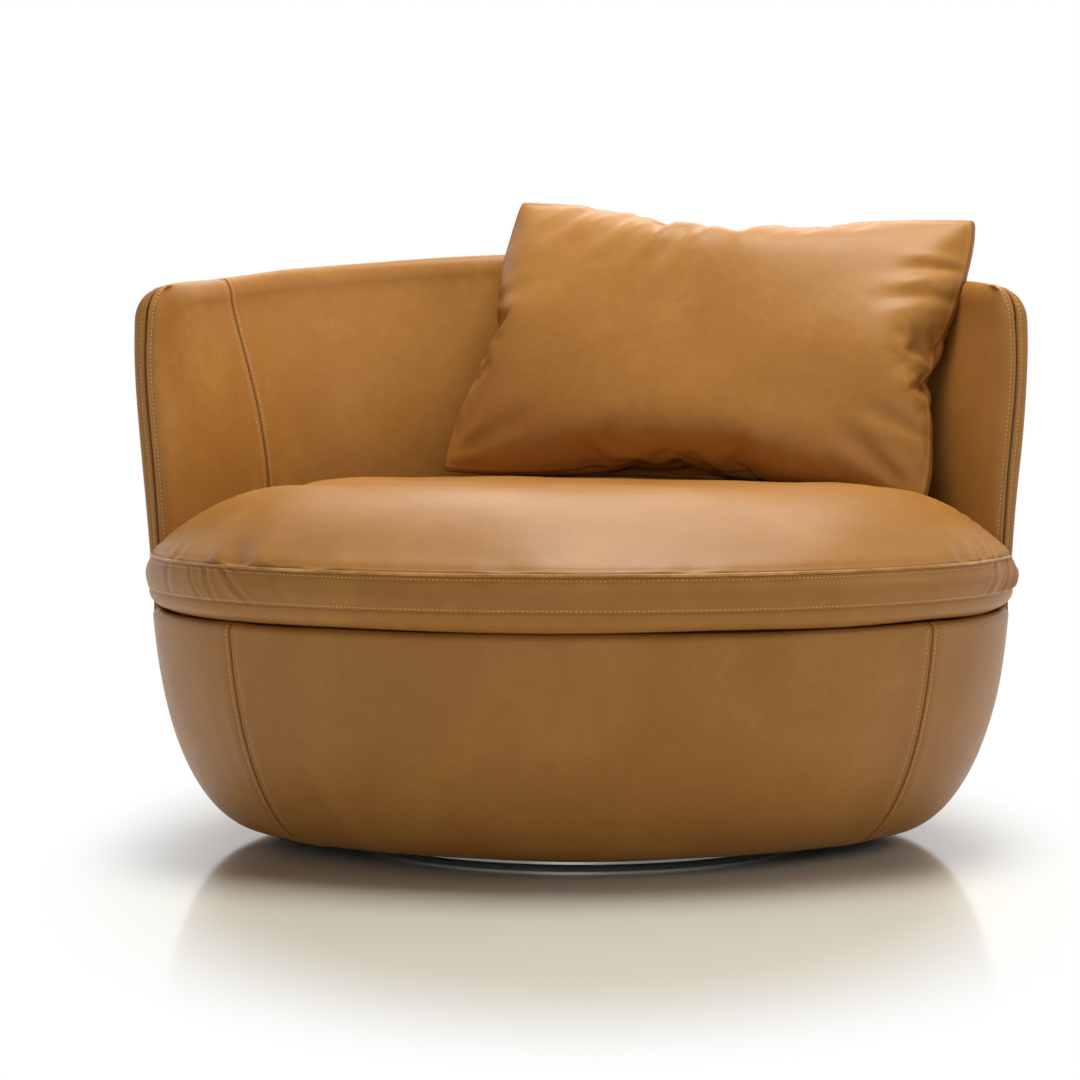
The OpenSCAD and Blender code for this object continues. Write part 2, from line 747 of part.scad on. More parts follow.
module base_cover_side() {
    slab(base_grid(side_run, 0), base_grid(side_run, leather_t));
}

module base_cover_right() {
    color("#b0763c") base_cover_side();
}

module base_cover_left() {
    color("#b0763c") mirror([1, 0, 0]) base_cover_side();
}

// Plan of the seat cushion: as wide as the tub in front of the arms, then between the walls
nose_front_y = -(side_arc_r * cos(arm_turn) + nose_reach);
ear_y = nose_front_y - ear_gap;
crown_ahead = 36;
seat_mid = [0, ear_y - crown_ahead];

// The gap round the cushion opens before the zip's end, to the room that the zip needs past the
// flats of the back
seat_fit = 0.5;
gap_lead = 46;
gap_run = 25;
wall_flat = (end_arc_r - back_wall_t) * (1 - cos((back_run[1] - back_run[0]) / 2));
function seat_gap(t) =
    mix(seat_fit, wall_flat + zip_room, ease((t - (180 - zip_half - gap_lead)) / gap_run));
ear_steps = [85, 125, 178];
function seat_front_in(t) = mix(-seat_proud, ear_in, pow(sin(t), 2));
function seat_right(e) =
    let (
        ear_x = plan_x(ear_y - ear_r, ear_in) - ear_r,
        wall_in = arm_wall_t + seat_fit + e,
        notch_turn = acos((e - ear_y) / (side_arc_r - wall_in))
    )
    concat(
        [for (t = [0, 18, 34, 50, 64, 77]) plan_pt(t, seat_front_in(t) + e)],
        [for (a = ear_steps)
            [ear_x + (ear_r - e) * sin(a), ear_y - ear_r - (ear_r - e) * cos(a)]],
        [plan_pt(notch_turn, wall_in)],
        [for (t = tail(behind_run)) plan_pt(t, wall_t(t) + seat_gap(t) + e)]
    );
function mirrored(right) =
    concat(right, [for (i = [len(right) - 2:-1:1]) [-right[i][0], right[i][1]]]);

// A loop of the cushion: drawn in by e at its edge and shrunk by a share f towards its middle.
// The crown's height at a place follows the distance from the edge and the roll there.
function seat_xy(e, f) = [for (p = mirrored(seat_right(e))) seat_mid + (p - seat_mid) * (1 - f)];
function seat_loop(e, f, z) = [for (p = seat_xy(e, f)) [p[0], p[1], z]];
function crown_loop(e, f, drop) = [for (p = seat_xy(e, f))
    let (
        from_edge = e - draw_in + f * norm(p - seat_mid) / (1 - f),
        roll = mix(front_roll, wall_roll, ease((p[1] - ear_y) / tub_half_d * 2)),
        rise = crown_rise * (1 - pow(1 - limit(from_edge / roll), 1.8))
    )
    [p[0], p[1], welt_z + max(seam_half, rise) - drop]];
crown_steps = [0.025, 0.075, 0.15, 0.26, 0.45];
seam_half = 1.4;
function crown(off, edge_off) = concat(
    [seat_loop(draw_in + edge_off, 0, welt_z + seam_half)],
    [for (f = crown_steps) crown_loop(draw_in + edge_off, f, off)]
);

core_top = welt_z + 14;
core_in = 6;
under_in = 12;
band_in = 1;
fill_e = leather_t + layer_gap;
module seat_core() {
    color("#efe6c4") loop_stack(
        [
            seat_loop(draw_in + under_in + fill_e, 0, seat_low + fill_e),
            seat_loop(draw_in + fill_e, 0, seam_z + 1),
            seat_loop(band_in + fill_e, 0, band_mid_z),
            seat_loop(draw_in + fill_e, 0, welt_z - seam_half),
            seat_loop(draw_in + fill_e + core_in, 0.04, core_top)
        ],
        concat(seat_mid, seat_low + fill_e), concat(seat_mid, core_top)
    );
}

module seat_topper() {
    color("#f4f1e6") loop_stack(
        [
            seat_loop(draw_in + fill_e + core_in, 0.045, core_top + layer_gap),
            crown_loop(draw_in + fill_e, 0.15, fill_e),
            crown_loop(draw_in + fill_e, 0.45, fill_e)
        ],
        concat(seat_mid, core_top + layer_gap), concat(seat_mid, crown_z - fill_e)
    );
}

module seat_top_cover() {
    color("#c08748") dish(
        crown(0, 0), crown(leather_t, leather_t),
        concat(seat_mid, crown_z), concat(seat_mid, crown_z - leather_t)
    );
}

module seat_band() {
    function rows(off) = [
        seat_loop(draw_in + off, 0, seam_z + 0.2),
        seat_loop(band_in + off, 0, band_mid_z),
        seat_loop(draw_in + off, 0, welt_z - seam_half)
    ];
    color("#a9702f") loop_slab(rows(0), rows(leather_t));
}

// The underside is a dish that hangs down, so it is made upside down from the same loops
module seat_bottom_cover() {
    function flip(loop, off) = [for (p = loop) [p[0], p[1], -p[2] - off]];
    outer = [
        flip(seat_loop(draw_in, 0, seam_z), 0),
        flip(seat_loop(draw_in + under_in, 0, seat_low), 0)
    ];
    inner = [
        flip(seat_loop(draw_in + leather_t, 0, seam_z), 0),
        flip(seat_loop(draw_in + under_in, 0, seat_low), leather_t)
    ];
    color("#a06a35") mirror([0, 0, 1]) dish(
        outer, inner, concat(seat_mid, -seat_low), concat(seat_mid, -seat_low - leather_t)
    );
}

// Welt: a thin cord in leather along the upper edge of the band
module seat_welt() {
    sides = 4;
    function ring(a) = seat_loop(draw_in - welt_r / 2 - welt_r * cos(a), 0,
        welt_z + welt_r * sin(a));
    loops = [for (i = [0:sides - 1]) ring(i * 360 / sides)];
    cols = len(loops[0]);
    points = [for (r = loops, p = r) p];
    faces = [for (i = [0:sides - 1], j = [0:cols - 1])
        let (
            a = i * cols + j, c = i * cols + (j + 1) % cols,
            b = ((i + 1) % sides) * cols + j, d = ((i + 1) % sides) * cols + (j + 1) % cols
        )
        each [[a, b, d], [a, d, c]]];
    color("#d39a5b") polyhedron(points, faces);
}

// Zip in the band behind the cushion. It follows the plan's back arc, so the slider turns about
// that arc's centre. Where the zip is longer than the arc, it goes on along the side arcs.
zip_proud = 0.02;
zip_in = back_wall_t + wall_flat + zip_room + band_in - zip_proud;
zip_tape_t = 0.8;
slider_t = 1.1;
slider_h = 9;
module plan_arc(centre, r, from, to, t, h) {
    translate([centre[0], centre[1], band_mid_z - h / 2]) rotate([0, 0, 90 - to])
        rotate_extrude(angle = to - from, $fn = 128) translate([r, 0]) square([t, h]);
}

module seat_zip() {
    on_back = min(zip_half, join_turn);
    color("#3a2c1c") {
        plan_arc([0, -end_c], end_arc_r - zip_in, -on_back, on_back, zip_tape_t, zip_w);
        if (zip_half > join_turn)
            for (side = [0, 1])
                mirror([side, 0, 0])
                    plan_arc([side_c, 0], side_arc_r - zip_in, join_turn, zip_half, zip_tape_t, zip_w);
    }
}

module zip_slider() {
    past = zip_half > join_turn;
    r = (past ? side_arc_r : end_arc_r) - zip_in + zip_tape_t + run_gap;
    span = slider_l / r * 180 / PI;
    color("#b9a26a") mirror([1, 0, 0]) plan_arc(
        past ? [side_c, 0] : [0, -end_c], r, zip_half - span, zip_half, slider_t, slider_h
    );
}

// Pillow: two crowned panels with drawn-in sides, joined by a narrow border strip
pillow_cols = 14;
pillow_rows = 9;
function pillow_uv(s, t, in) = [
    s * (pillow_w / 2 - in - pillow_pull * (1 - t * t)),
    t * (pillow_h / 2 - in - pillow_pull * (1 - s * s))
];
function pillow_half_t(s, t) =
    pillow_edge / 2 + (pillow_t - pillow_edge) / 2
        * pow(limit((1 - pow(abs(s), 2.6)) * (1 - pow(abs(t), 2.2))), 0.62);
function pillow_step(i, n) = let (t = -1 + 2 * i / n) sin(90 * t);
function pillow_grid(way, in, off) =
    [for (i = [0:pillow_rows]) let (t = pillow_step(i, pillow_rows))
        [for (j = [0:pillow_cols]) let (
            s = pillow_step(j, pillow_cols),
            p = pillow_uv(s, t, in)
        ) [p[0], way * (pillow_half_t(s, t) - off), p[1]]]];

pillow_rest = (pillow_h / 2 - pillow_pull) * cos(pillow_lean) + pillow_edge / 2 * sin(pillow_lean);
pillow_at = [
    tub_half_w - pillow_side_gap - pillow_w / 2 * cos(pillow_turn),
    tub_half_d - pillow_back_gap,
    crown_z + pillow_rise + pillow_rest
];
module pillow_place() {
    translate(pillow_at) rotate([0, 0, -pillow_turn]) rotate([-pillow_lean, 0, 0])
        rotate([0, pillow_tilt, 0]) children();
}

panel_edge_in = 0.4;
module pillow_fill() {
    color("#f4f1e6") pillow_place() slab(
        pillow_grid(-1, fill_e + panel_edge_in, fill_e), pillow_grid(1, fill_e + panel_edge_in, fill_e)
    );
}

module pillow_front_cover() {
    color("#b87a3b") pillow_place() slab(
        pillow_grid(-1, panel_edge_in, 0), pillow_grid(-1, panel_edge_in, leather_t)
    );
}

module pillow_back_cover() {
    color("#b87a3b") pillow_place() slab(
        pillow_grid(1, panel_edge_in, leather_t), pillow_grid(1, panel_edge_in, 0)
    );
}

// The border strip runs round the edge between the two panels
function pillow_edge_places() = concat(
    [for (j = [0:pillow_cols - 1]) [pillow_step(j, pillow_cols), -1]],
    [for (i = [0:pillow_rows - 1]) [1, pillow_step(i, pillow_rows)]],
    [for (j = [pillow_cols:-1:1]) [pillow_step(j, pillow_cols), 1]],
    [for (i = [pillow_rows:-1:1]) [-1, pillow_step(i, pillow_rows)]]
);
module pillow_border() {
    half = pillow_edge / 2 - leather_t - layer_gap;
    function ring(in, y) = [for (p = pillow_edge_places())
        let (q = pillow_uv(p[0], p[1], in)) [q[0], y, q[1]]];
    color("#a9702f") pillow_place() loop_slab(
        [ring(0, half), ring(0, -half)], [ring(leather_t, half), ring(leather_t, -half)]
    );
}

floor_disc();
floor_glides();
spindle();
spindle_nut();
lower_race();
race_screws();
bearing_balls();
ball_cage();
upper_race();
swivel_plate();
base_board();
board_bolts();
tee_nuts();
dust_cover();
bowl_shell();
back_shell();
base_ribs();
deck_ring();
edge_pad();
straps_lengthwise();
straps_crosswise();
deck_pad();
deck_cloth();
arm_foam_right();
arm_foam_left();
back_foam();
outer_cover_right();
outer_cover_left();
outer_cover_back();
inner_cover_right();
inner_cover_left();
inner_cover_back();
base_cover_front();
base_cover_right();
base_cover_left();
seat_core();
seat_topper();
seat_top_cover();
seat_band();
seat_bottom_cover();
seat_welt();
seat_zip();
zip_slider();
pillow_fill();
pillow_front_cover();
pillow_back_cover();
pillow_border();
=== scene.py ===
"""Looks of a swivel tub armchair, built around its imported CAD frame. Sizes are in metres."""

import math

import bmesh
import bpy
import numpy as np
from bpy.props import FloatProperty, PointerProperty, StringProperty
from bpy.types import Operator, Panel, PropertyGroup
from mathutils import Matrix, Vector
from mathutils.bvhtree import BVHTree


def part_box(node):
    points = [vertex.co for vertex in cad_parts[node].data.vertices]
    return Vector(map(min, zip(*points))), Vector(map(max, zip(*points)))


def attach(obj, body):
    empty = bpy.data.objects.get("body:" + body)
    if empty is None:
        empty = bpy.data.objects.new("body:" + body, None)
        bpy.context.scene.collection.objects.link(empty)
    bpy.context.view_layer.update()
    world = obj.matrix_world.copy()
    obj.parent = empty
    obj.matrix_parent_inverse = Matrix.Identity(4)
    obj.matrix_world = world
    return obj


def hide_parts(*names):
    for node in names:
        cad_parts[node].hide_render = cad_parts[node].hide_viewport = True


bl_info = {
    "name": "Swivel tub armchair",
    "version": (1, 0, 0),
    "blender": (4, 5, 0),
    "location": "View3D > Sidebar > Armchair",
    "description": "Leather, cushions, seams and stage of a swivel tub armchair",
    "category": "Object",
}

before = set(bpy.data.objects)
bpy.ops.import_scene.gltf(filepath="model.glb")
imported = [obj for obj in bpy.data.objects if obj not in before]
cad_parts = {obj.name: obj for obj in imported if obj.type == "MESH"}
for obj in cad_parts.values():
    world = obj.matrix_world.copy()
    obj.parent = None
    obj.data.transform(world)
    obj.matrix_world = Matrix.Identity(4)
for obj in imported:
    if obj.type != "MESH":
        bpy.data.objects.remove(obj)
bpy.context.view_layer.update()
FULL_TURN = 2 * math.pi
LEATHER_T = 0.002
STITCH_OFF = 0.0078  # from a seam to its stitches
STITCH_TRIM = 0.012  # bare leather at the ends of a row
FOLDED_EDGE = 0.0036, 0.002  # distance from a seam and half width of the rubbed edge
SHADED_GROOVE = 0.0016  # half width of the painted shade in a seam's groove
MIRROR = np.array([-1.0, 1, 1])
WHITE = (1, 1, 1, 1)
FLOOR_HALF = 20.0


# Settings that a user would change


def length(name, description, default, low, high):
    """A length in metres as a property."""
    return FloatProperty(
        name=name, description=description, default=default, min=low, max=high,
        subtype="DISTANCE", unit="LENGTH",
    )


def degrees(name, description, default, low, high):
    """An angle as a property, kept in degrees."""
    return FloatProperty(
        name=name, description=description, default=default, min=low, max=high
    )


def paint(name, description, default):
    """A colour as a property, an sRGB hex value."""
    return StringProperty(name=name, description=description, default=default)


class TubSettings(PropertyGroup):
    """Sizes of the tub's walls"""

    half_width: length("Half width", "Half of the tub's width", 0.5535, 0.52, 0.6)
    half_depth: length("Half depth", "Half of the tub's depth", 0.475, 0.45, 0.52)
    side_radius: length("Side radius", "Radius of the plan at each side", 0.42, 0.39, 0.43)
    arm_height: length("Arm height", "Height of the arms", 0.695, 0.64, 0.74)
    back_height: length("Back height", "Height of the back", 0.745, 0.7, 0.8)
    front_height: length("Front height", "Height of the edge in front", 0.29, 0.27, 0.31)
    belly: length("Belly", "Height of the lowest leather", 0.015, 0.014, 0.024)
    nose_reach: length("Nose reach", "Reach of the rounded arm front", 0.024, 0.018, 0.026)
    arm_turn: degrees("Arm turn", "Turn at which the arms end", 88, 86, 90)
    front_seam: degrees("Front seam", "Turn of the seams in front", 44, 40, 50)
    back_seam: degrees("Back seam", "Turn of the seams behind", 136, 130, 140)
    inner_seam: degrees("Inner seam", "Turn of the inner seams", 120, 112, 128)


class SeatSettings(PropertyGroup):
    """Sizes of the seat cushion"""

    underside: length("Underside", "Height of the underside", 0.298, 0.296, 0.31)
    seam_rise: length("Seam rise", "Height of the lower seam", 0.017, 0.012, 0.022)
    band: length("Band", "Height of the border band", 0.042, 0.034, 0.05)
    crown: length("Crown", "Rise of the crown over the welt", 0.084, 0.06, 0.09)
    front_roll: length("Front roll", "Length of the roll in front", 0.2, 0.15, 0.24)
    wall_roll: length("Wall roll", "Length of the roll at the walls", 0.08, 0.06, 0.12)


class PillowSettings(PropertyGroup):
    """Sizes and place of the pillow"""

    width: length("Width", "Width between the corners", 0.662, 0.56, 0.68)
    height: length("Height", "Height between the corners", 0.4, 0.34, 0.43)
    thickness: length("Thickness", "Thickness at the middle", 0.15, 0.11, 0.16)
    border: length("Border", "Width of the border strip", 0.014, 0.01, 0.018)
    turn: degrees("Turn", "Turn towards the right arm", 21, 16, 24)
    lean: degrees("Lean", "Lean towards the back", 23, 20, 28)
    tilt: degrees("Tilt", "Tilt down to the right", 3.7, 2, 6)


class LeatherSettings(PropertyGroup):
    """Colours and grain of the leather and the thread"""

    mid: paint("Leather", "Main colour of the leather", "#9E6C32")
    light: paint("Light", "Colour of rubbed and stretched leather", "#A9773A")
    dark: paint("Dark", "Colour of the darker clouds", "#98662D")
    thread: paint("Thread", "Colour of the thread", "#D9A869")
    pitch: length("Pitch", "Length of one stitch and its gap", 0.0054, 0.004, 0.01)


def linear(colour):
    """An sRGB hex value as linear red, green, blue and alpha."""
    channels = [int(colour.lstrip("#")[i:i + 2], 16) / 255 for i in (0, 2, 4)]
    return [c / 12.92 if c < 0.04045 else ((c + 0.055) / 1.055) ** 2.4 for c in channels] + [1]


# Numbers and curves


def smooth(t):
    """3t² - 2t³ between 0 and 1, level outside."""
    t = np.clip(t, 0, 1)
    return t * t * (3 - 2 * t)


def bell(d, width):
    """A Gaussian: e to the power of -(d / width)²."""
    return np.exp(-((d / width) ** 2))


def dense(low, high, count, ends="both", share=0.86):
    """count values from low to high, closer together at the named ends: t - share sin(2πt)/2π
    for both, and the power 1 + share of t or 1 - t for low or high."""
    t = np.linspace(0, 1, count)
    if ends == "both":
        t = t - share * np.sin(FULL_TURN * t) / FULL_TURN
    else:
        t = t ** (1 + share) if ends == "low" else 1 - (1 - t) ** (1 + share)
    return low + (high - low) * t


def waves(p, size, seed, count=9):
    """Smooth noise between about -1 and 1: a sum of sines in random directions, about size
    metres long."""
    draw = np.random.default_rng(seed)
    way = draw.normal(size=(count, 3))
    way *= FULL_TURN / size / np.linalg.norm(way, axis=1, keepdims=True)
    way *= draw.uniform(0.6, 1.5, (count, 1))
    phase = draw.uniform(0, FULL_TURN, count)
    return np.sin(p @ way.T + phase).sum(-1) / math.sqrt(count)


def distance_to(points, curves):
    """Distance of each point to the nearest of these curves, measured square to their segments
    next to the nearest sample."""
    best = np.full(len(points), np.inf)
    for curve in curves:
        batches = len(points) * len(curve) // 3_000_000 + 1
        for part in np.array_split(np.arange(len(points)), batches):
            p = points[part]
            at = ((p[:, None, :] - curve[None]) ** 2).sum(-1).argmin(1)
            for step in (-1, 1):
                a, b = curve[at], curve[np.clip(at + step, 0, len(curve) - 1)]
                along = ((p - a) * (b - a)).sum(-1) / np.maximum(((b - a) ** 2).sum(-1), 1e-12)
                foot = a + np.clip(along, 0, 1)[:, None] * (b - a)
                best[part] = np.minimum(best[part], np.linalg.norm(p - foot, axis=1))
    return best


def resample(curve, step, closed=False):
    """The curve with evenly spaced points about step apart, by its running length."""
    line = np.vstack([curve, curve[:1]]) if closed else curve
    run = np.concatenate([[0], np.cumsum(np.linalg.norm(np.diff(line, axis=0), axis=1))])
    count = max(2, int(round(run[-1] / step)) + (0 if closed else 1))
    at = np.linspace(0, run[-1], count, endpoint=not closed)
    return np.stack([np.interp(at, run, line[:, i]) for i in range(line.shape[1])], -1)


def soften(curve, sigma, step, closed=True):
    """The curve blurred along its length with a Gaussian of sigma metres."""
    reach = int(3 * sigma / step)
    weight = np.exp(-0.5 * (np.arange(-reach, reach + 1) * step / sigma) ** 2)
    mode = "wrap" if closed else "edge"
    padded = np.pad(curve, [(reach, reach)] + [(0, 0)] * (curve.ndim - 1), mode=mode)
    return sum(w * padded[i:i + len(curve)] for i, w in enumerate(weight)) / weight.sum()


def seam_relief(d):
    """Height of the leather at a distance from a seam: a groove at the seam, its folded edge,
    a dip under the stitches and a low swell past them, each a Gaussian of the distance."""
    parts = ((-0.0019, 0, 0.0014), (0.0008, FOLDED_EDGE[0], 0.0019),
             (-0.0008, STITCH_OFF, 0.0017), (0.0009, 0.017, 0.009))
    return sum(height * bell(d - at, width) for height, at, width in parts)


# The tub's surfaces


class Tub:
    """The walls as functions of the turn round the plan, 0 in front and 180 behind."""

    # Lower corner: height, inset, its powers in front and at the sides, and the turn where the
    # power starts to change and the turns that it takes
    corner_h, corner_in, corner_power, side_power = 0.265, 0.1125, 2.09, 2.36
    fuller_from, fuller_over = 25, 45
    # Lean of the walls: most inset, height where it ends, power
    lean_in, lean_top, lean_power = 0.046, 0.62, 1.6
    # Thickness at the arms and the back, the turns between, and how the inner wall thins
    arm_t, back_t, thick_from, thick_over = 0.084, 0.095, 90, 35
    thin_from, inner_power, thin_power = 0.437, 1.95, 1.35
    # Outward swell of the walls: size, height of its middle, half width
    swell, swell_z, swell_h = 0.0062, 0.60, 0.115
    # The rim's roll: outer and inner half, height outside and inside, level of the rim seam
    roll_out, roll_in, roll_high, roll_low, roll_split = 0.040, 0.014, 0.046, 0.028, 1.8
    # The rim's height: turn where it starts to rise, and its dip at the arm's front
    rise_from, nose_drop, arm_lift, lift_from, lift_over = 98, 0.004, 0.0028, 86, 18
    # The edge before the cushion: radius, flap on the deck and its slope, and how many turns
    # short of the arm the flap stops
    edge_r, flap, flap_fall, edge_stop = 0.010, 0.032, 0.4, 4
    hem = 0.018  # width of the leather's end under the tub
    # The strip under the nose: degrees that it is pushed forward, and the height and the side
    # over which that fades
    low_split, push_high, push_side = 1.8, 0.05, 60
    # The arm's face: side of the nose seam, turn where it ends, its curve's first direction
    # and the reach of its two handles, the ridge's wait and power, and how near to the pole
    # points are drawn on to it
    seam_side, blend_turn, face_angle, face_leave, face_arrive = 50, 110, 58, 0.036, 0.062
    ridge_wait, ridge_power, pole_r = 0.12, 1.3, 0.0025
    # Slant of the inner seams at the seat and at the rim, and turns over which it fades
    slant_low, slant_high, slant_over = 3.8, 2.6, 25

    def __init__(self, size):
        """size: a TubSettings."""
        self.size = size
        self.side_c = size.half_width - size.side_radius
        self.end_r = (self.side_c**2 + size.half_depth**2 - size.side_radius**2) / (
            2 * (size.half_depth - size.side_radius)
        )
        self.end_c = self.end_r - size.half_depth
        self.join = math.degrees(math.atan2(self.side_c, self.end_c))
        self.corner_z = size.belly + self.corner_h
        self.deck = size.front_height - self.edge_r

    def plan(self, turn, inset):
        """A circle of the side arc's or the end arc's radius less the inset, round its centre."""
        p, m = np.radians(turn), np.abs(turn)
        end, side = self.end_r - inset, self.size.side_radius - inset
        in_end = (m <= self.join) | (m >= 180 - self.join)
        x = np.where(in_end, end * np.sin(p), np.sign(turn) * self.side_c + side * np.sin(p))
        centre = np.where(m <= self.join, self.end_c, -self.end_c)
        y = np.where(in_end, centre - end * np.cos(p), -side * np.cos(p))
        return x, y

    def point(self, turn, inset, z):
        """The plan's point at a height."""
        turn, inset, z = np.broadcast_arrays(turn, inset, z)
        x, y = self.plan(turn, inset)
        return np.stack([x, y, z], -1)

    def turn_of(self, x, y):
        """The turn, without its side, whose normal passes through a place: the angle round the
        end arc's centre up to the join, and round the side arc's centre past it."""
        end = np.degrees(np.arctan2(np.abs(x), self.end_c - y))
        side = np.degrees(np.arctan2(np.abs(x) - self.side_c, -y))
        return np.where(end <= self.join, end, np.maximum(side, self.join))

    def lean(self, z):
        """A power of the height left under lean_top."""
        return self.lean_in * np.clip((self.lean_top - z) / self.lean_top, 0, 1) ** self.lean_power

    def pushed(self, turn, side):
        """The turn of the strip under the nose, which is pushed forward."""
        return turn - self.low_split * np.asarray(side) / self.seam_side

    def corner(self, a, turn):
        """A superellipse on top of the lean, fuller at the sides than in front: inset and height
        at its angle, 90 at the bottom."""
        c, s = np.cos(np.radians(a)), np.sin(np.radians(a))
        fuller = smooth((np.abs(turn) - self.fuller_from) / self.fuller_over)
        power = self.corner_power + (self.side_power - self.corner_power) * fuller
        z = self.corner_z - self.corner_h * np.clip(s, 0, 1) ** (2 / power)
        return self.lean(z) + self.corner_in * (1 - np.clip(c, 0, 1) ** (2 / power)), z

    def rim(self, turn):
        """Height of the rim: it rises smoothly from the arms to the middle of the back, and
        starts a little lower at the arm's front."""
        t = smooth((np.abs(turn) - self.rise_from) / (180 - self.rise_from))
        front = smooth((np.abs(turn) - self.lift_from) / self.lift_over)
        rise = self.size.back_height - self.size.arm_height
        lift = front * (self.nose_drop + self.arm_lift)
        return self.size.arm_height - self.nose_drop + lift + rise * t

    def thick(self, turn):
        """Thickness of the wall beside the seat."""
        share = smooth((np.abs(turn) - self.thick_from) / self.thick_over)
        return self.arm_t + (self.back_t - self.arm_t) * share

    def levels(self, turn, side, k):
        """Height, outer inset, middle, inner inset and roll of a level: k is 0 at the deck, 1
        where the rim's roll starts and 2 on its top. The inner wall thins by a power of the
        height, and the outer face swells by a Gaussian of it."""
        high = self.roll_high + (self.roll_low - self.roll_high) * smooth(side / 180)
        start = self.rim(turn) - high
        z = self.deck + (start - self.deck) * np.clip(k, 0, 1)
        t = np.clip((z - self.thin_from) / (start - self.thin_from), 0, 1)
        width = self.roll_out + self.roll_in
        thinner = 1 - (1 - t**self.inner_power) ** self.thin_power
        inner = self.thick(turn) - (self.thick(turn) - width) * thinner
        outer = self.lean(z) - self.swell * bell(z - self.swell_z, self.swell_h)
        middle = (outer + inner) / 2 * (1 - t * t) + self.roll_out * t * t
        roll = np.radians(90 * np.clip(k - 1, 0, 1))
        return z, outer, middle, inner, roll, z + high * np.sin(roll)

    def wall(self, turn, side, k):
        """A point of the upper wall. side goes from 0, the outer face, round the arm's front to
        180, the inner face: half an ellipse whose outer and inner half meet at the middle, and
        whose reach is the nose's. The roll shrinks it towards the middle."""
        turn, side, k = np.broadcast_arrays(*(np.asarray(v, float) for v in (turn, side, k)))
        z_low, outer, middle, inner, roll, z = self.levels(turn, side, k)
        ang = np.radians(side)
        half = np.where(side < 90, middle - outer, inner - middle) * np.cos(roll)
        reach = self.size.nose_reach * np.sin(ang) * np.cos(roll)
        p = self.point(turn, middle - half * np.cos(ang), z)
        p[..., 0] -= reach * np.cos(np.radians(turn))
        p[..., 1] -= reach * np.sin(np.radians(turn))
        low = self.point(self.pushed(turn, side), outer, z_low)
        w = 1 - smooth((z_low - self.deck) / self.push_high)
        w = w * (1 - smooth((side - self.seam_side) / self.push_side))
        w = np.where(side > 0, w, 0)[..., None]
        return p * (1 - w) + low * w

    def arm_face(self, v, k):
        """The inner leather from the nose seam, v = 0, to the inner wall at blend_turn, v = 1:
        at each level a cubic Bezier curve that leaves along the nose and arrives along the wall.
        The roll shrinks it towards a ridge that waits at the nose and then follows the rim."""
        v, k = np.broadcast_arrays(np.asarray(v, float), np.asarray(k, float))
        arm, seam = float(self.size.arm_turn), float(self.seam_side)
        level = np.clip(k, 0, 1)
        start = self.wall(arm, seam, level)
        end = self.wall(self.blend_turn, 180.0, level)
        a, b = math.radians(arm), math.radians(self.blend_turn)
        inward = np.array([-math.sin(a), math.cos(a), 0])
        ahead = np.array([-math.cos(a), -math.sin(a), 0])
        leave = math.radians(self.face_angle)
        leave = inward * math.sin(leave) + ahead * math.cos(leave)
        arrive = np.array([math.cos(b), math.sin(b), 0])
        first, second = start + self.face_leave * leave, end - self.face_arrive * arrive
        w = [x[..., None] for x in ((1 - v) ** 3, 3 * v * (1 - v) ** 2, 3 * v**2 * (1 - v), v**3)]
        p = w[0] * start + w[1] * first + w[2] * second + w[3] * end
        ridge_turn = self.ridge_turn(v)
        _, _, middle, _, roll, z = self.levels(ridge_turn, seam + (180 - seam) * smooth(v), k)
        ridge = self.point(ridge_turn, middle, z)
        p = ridge + (p - ridge) * np.cos(roll)[..., None]
        p[..., 2] = z
        return p

    def ridge_turn(self, v):
        """The turn of the rim's top over a place of the arm's face."""
        arm, wait = self.size.arm_turn, self.ridge_wait
        share = np.clip((v - wait) / (1 - wait), 0, 1) ** self.ridge_power
        return arm + (self.blend_turn - arm) * share

    def slanted(self, turn, k):
        """The inner seams slant: a turn near them is moved back at the seat and forward at the
        rim, by a hat round the seam's turn."""
        seam = self.size.inner_seam
        hat = smooth((turn - self.blend_turn) / (seam - self.blend_turn)) * (
            1 - smooth((turn - seam) / self.slant_over)
        )
        slant = self.slant_low - (self.slant_low + self.slant_high) * np.clip(k, 0, 1)
        return turn + hat * slant

    def under(self, turn, side, a):
        """A point of the lower corner, at its angle."""
        inset, z = self.corner(np.asarray(a, float), turn)
        return self.point(self.pushed(turn, side), inset, z)

    def hem_row(self, turn, side):
        """The leather's end under the tub."""
        inset, _ = self.corner(90.0, turn)
        return self.point(self.pushed(turn, side), inset + self.hem, self.size.belly)

    def seam_k(self, side):
        """Where the rim seam crosses a side of the nose: a quarter of a superellipse of power 3
        from 1 to roll_split."""
        return 1 + (self.roll_split - 1) * np.cbrt(
            np.clip(1 - (np.asarray(side, float) / self.seam_side) ** 3, 0, 1)
        )

    def outer_panel(self, turn, side):
        """Rows from the hem up to the rim seam, for columns at these turns and sides."""
        turn, side = np.asarray(turn, float)[None], np.asarray(side, float)[None]
        a = np.linspace(90, 0, 44)[:, None]
        k = np.linspace(0, 1, 62)[1:, None]
        roll = dense(0, 1, 14, "high")[1:, None]
        top = 1 + (self.seam_k(side) - 1) * roll
        return np.concatenate([
            self.hem_row(turn, side), self.under(turn, side, a),
            self.wall(turn, side, k), self.wall(turn, side, top),
        ])

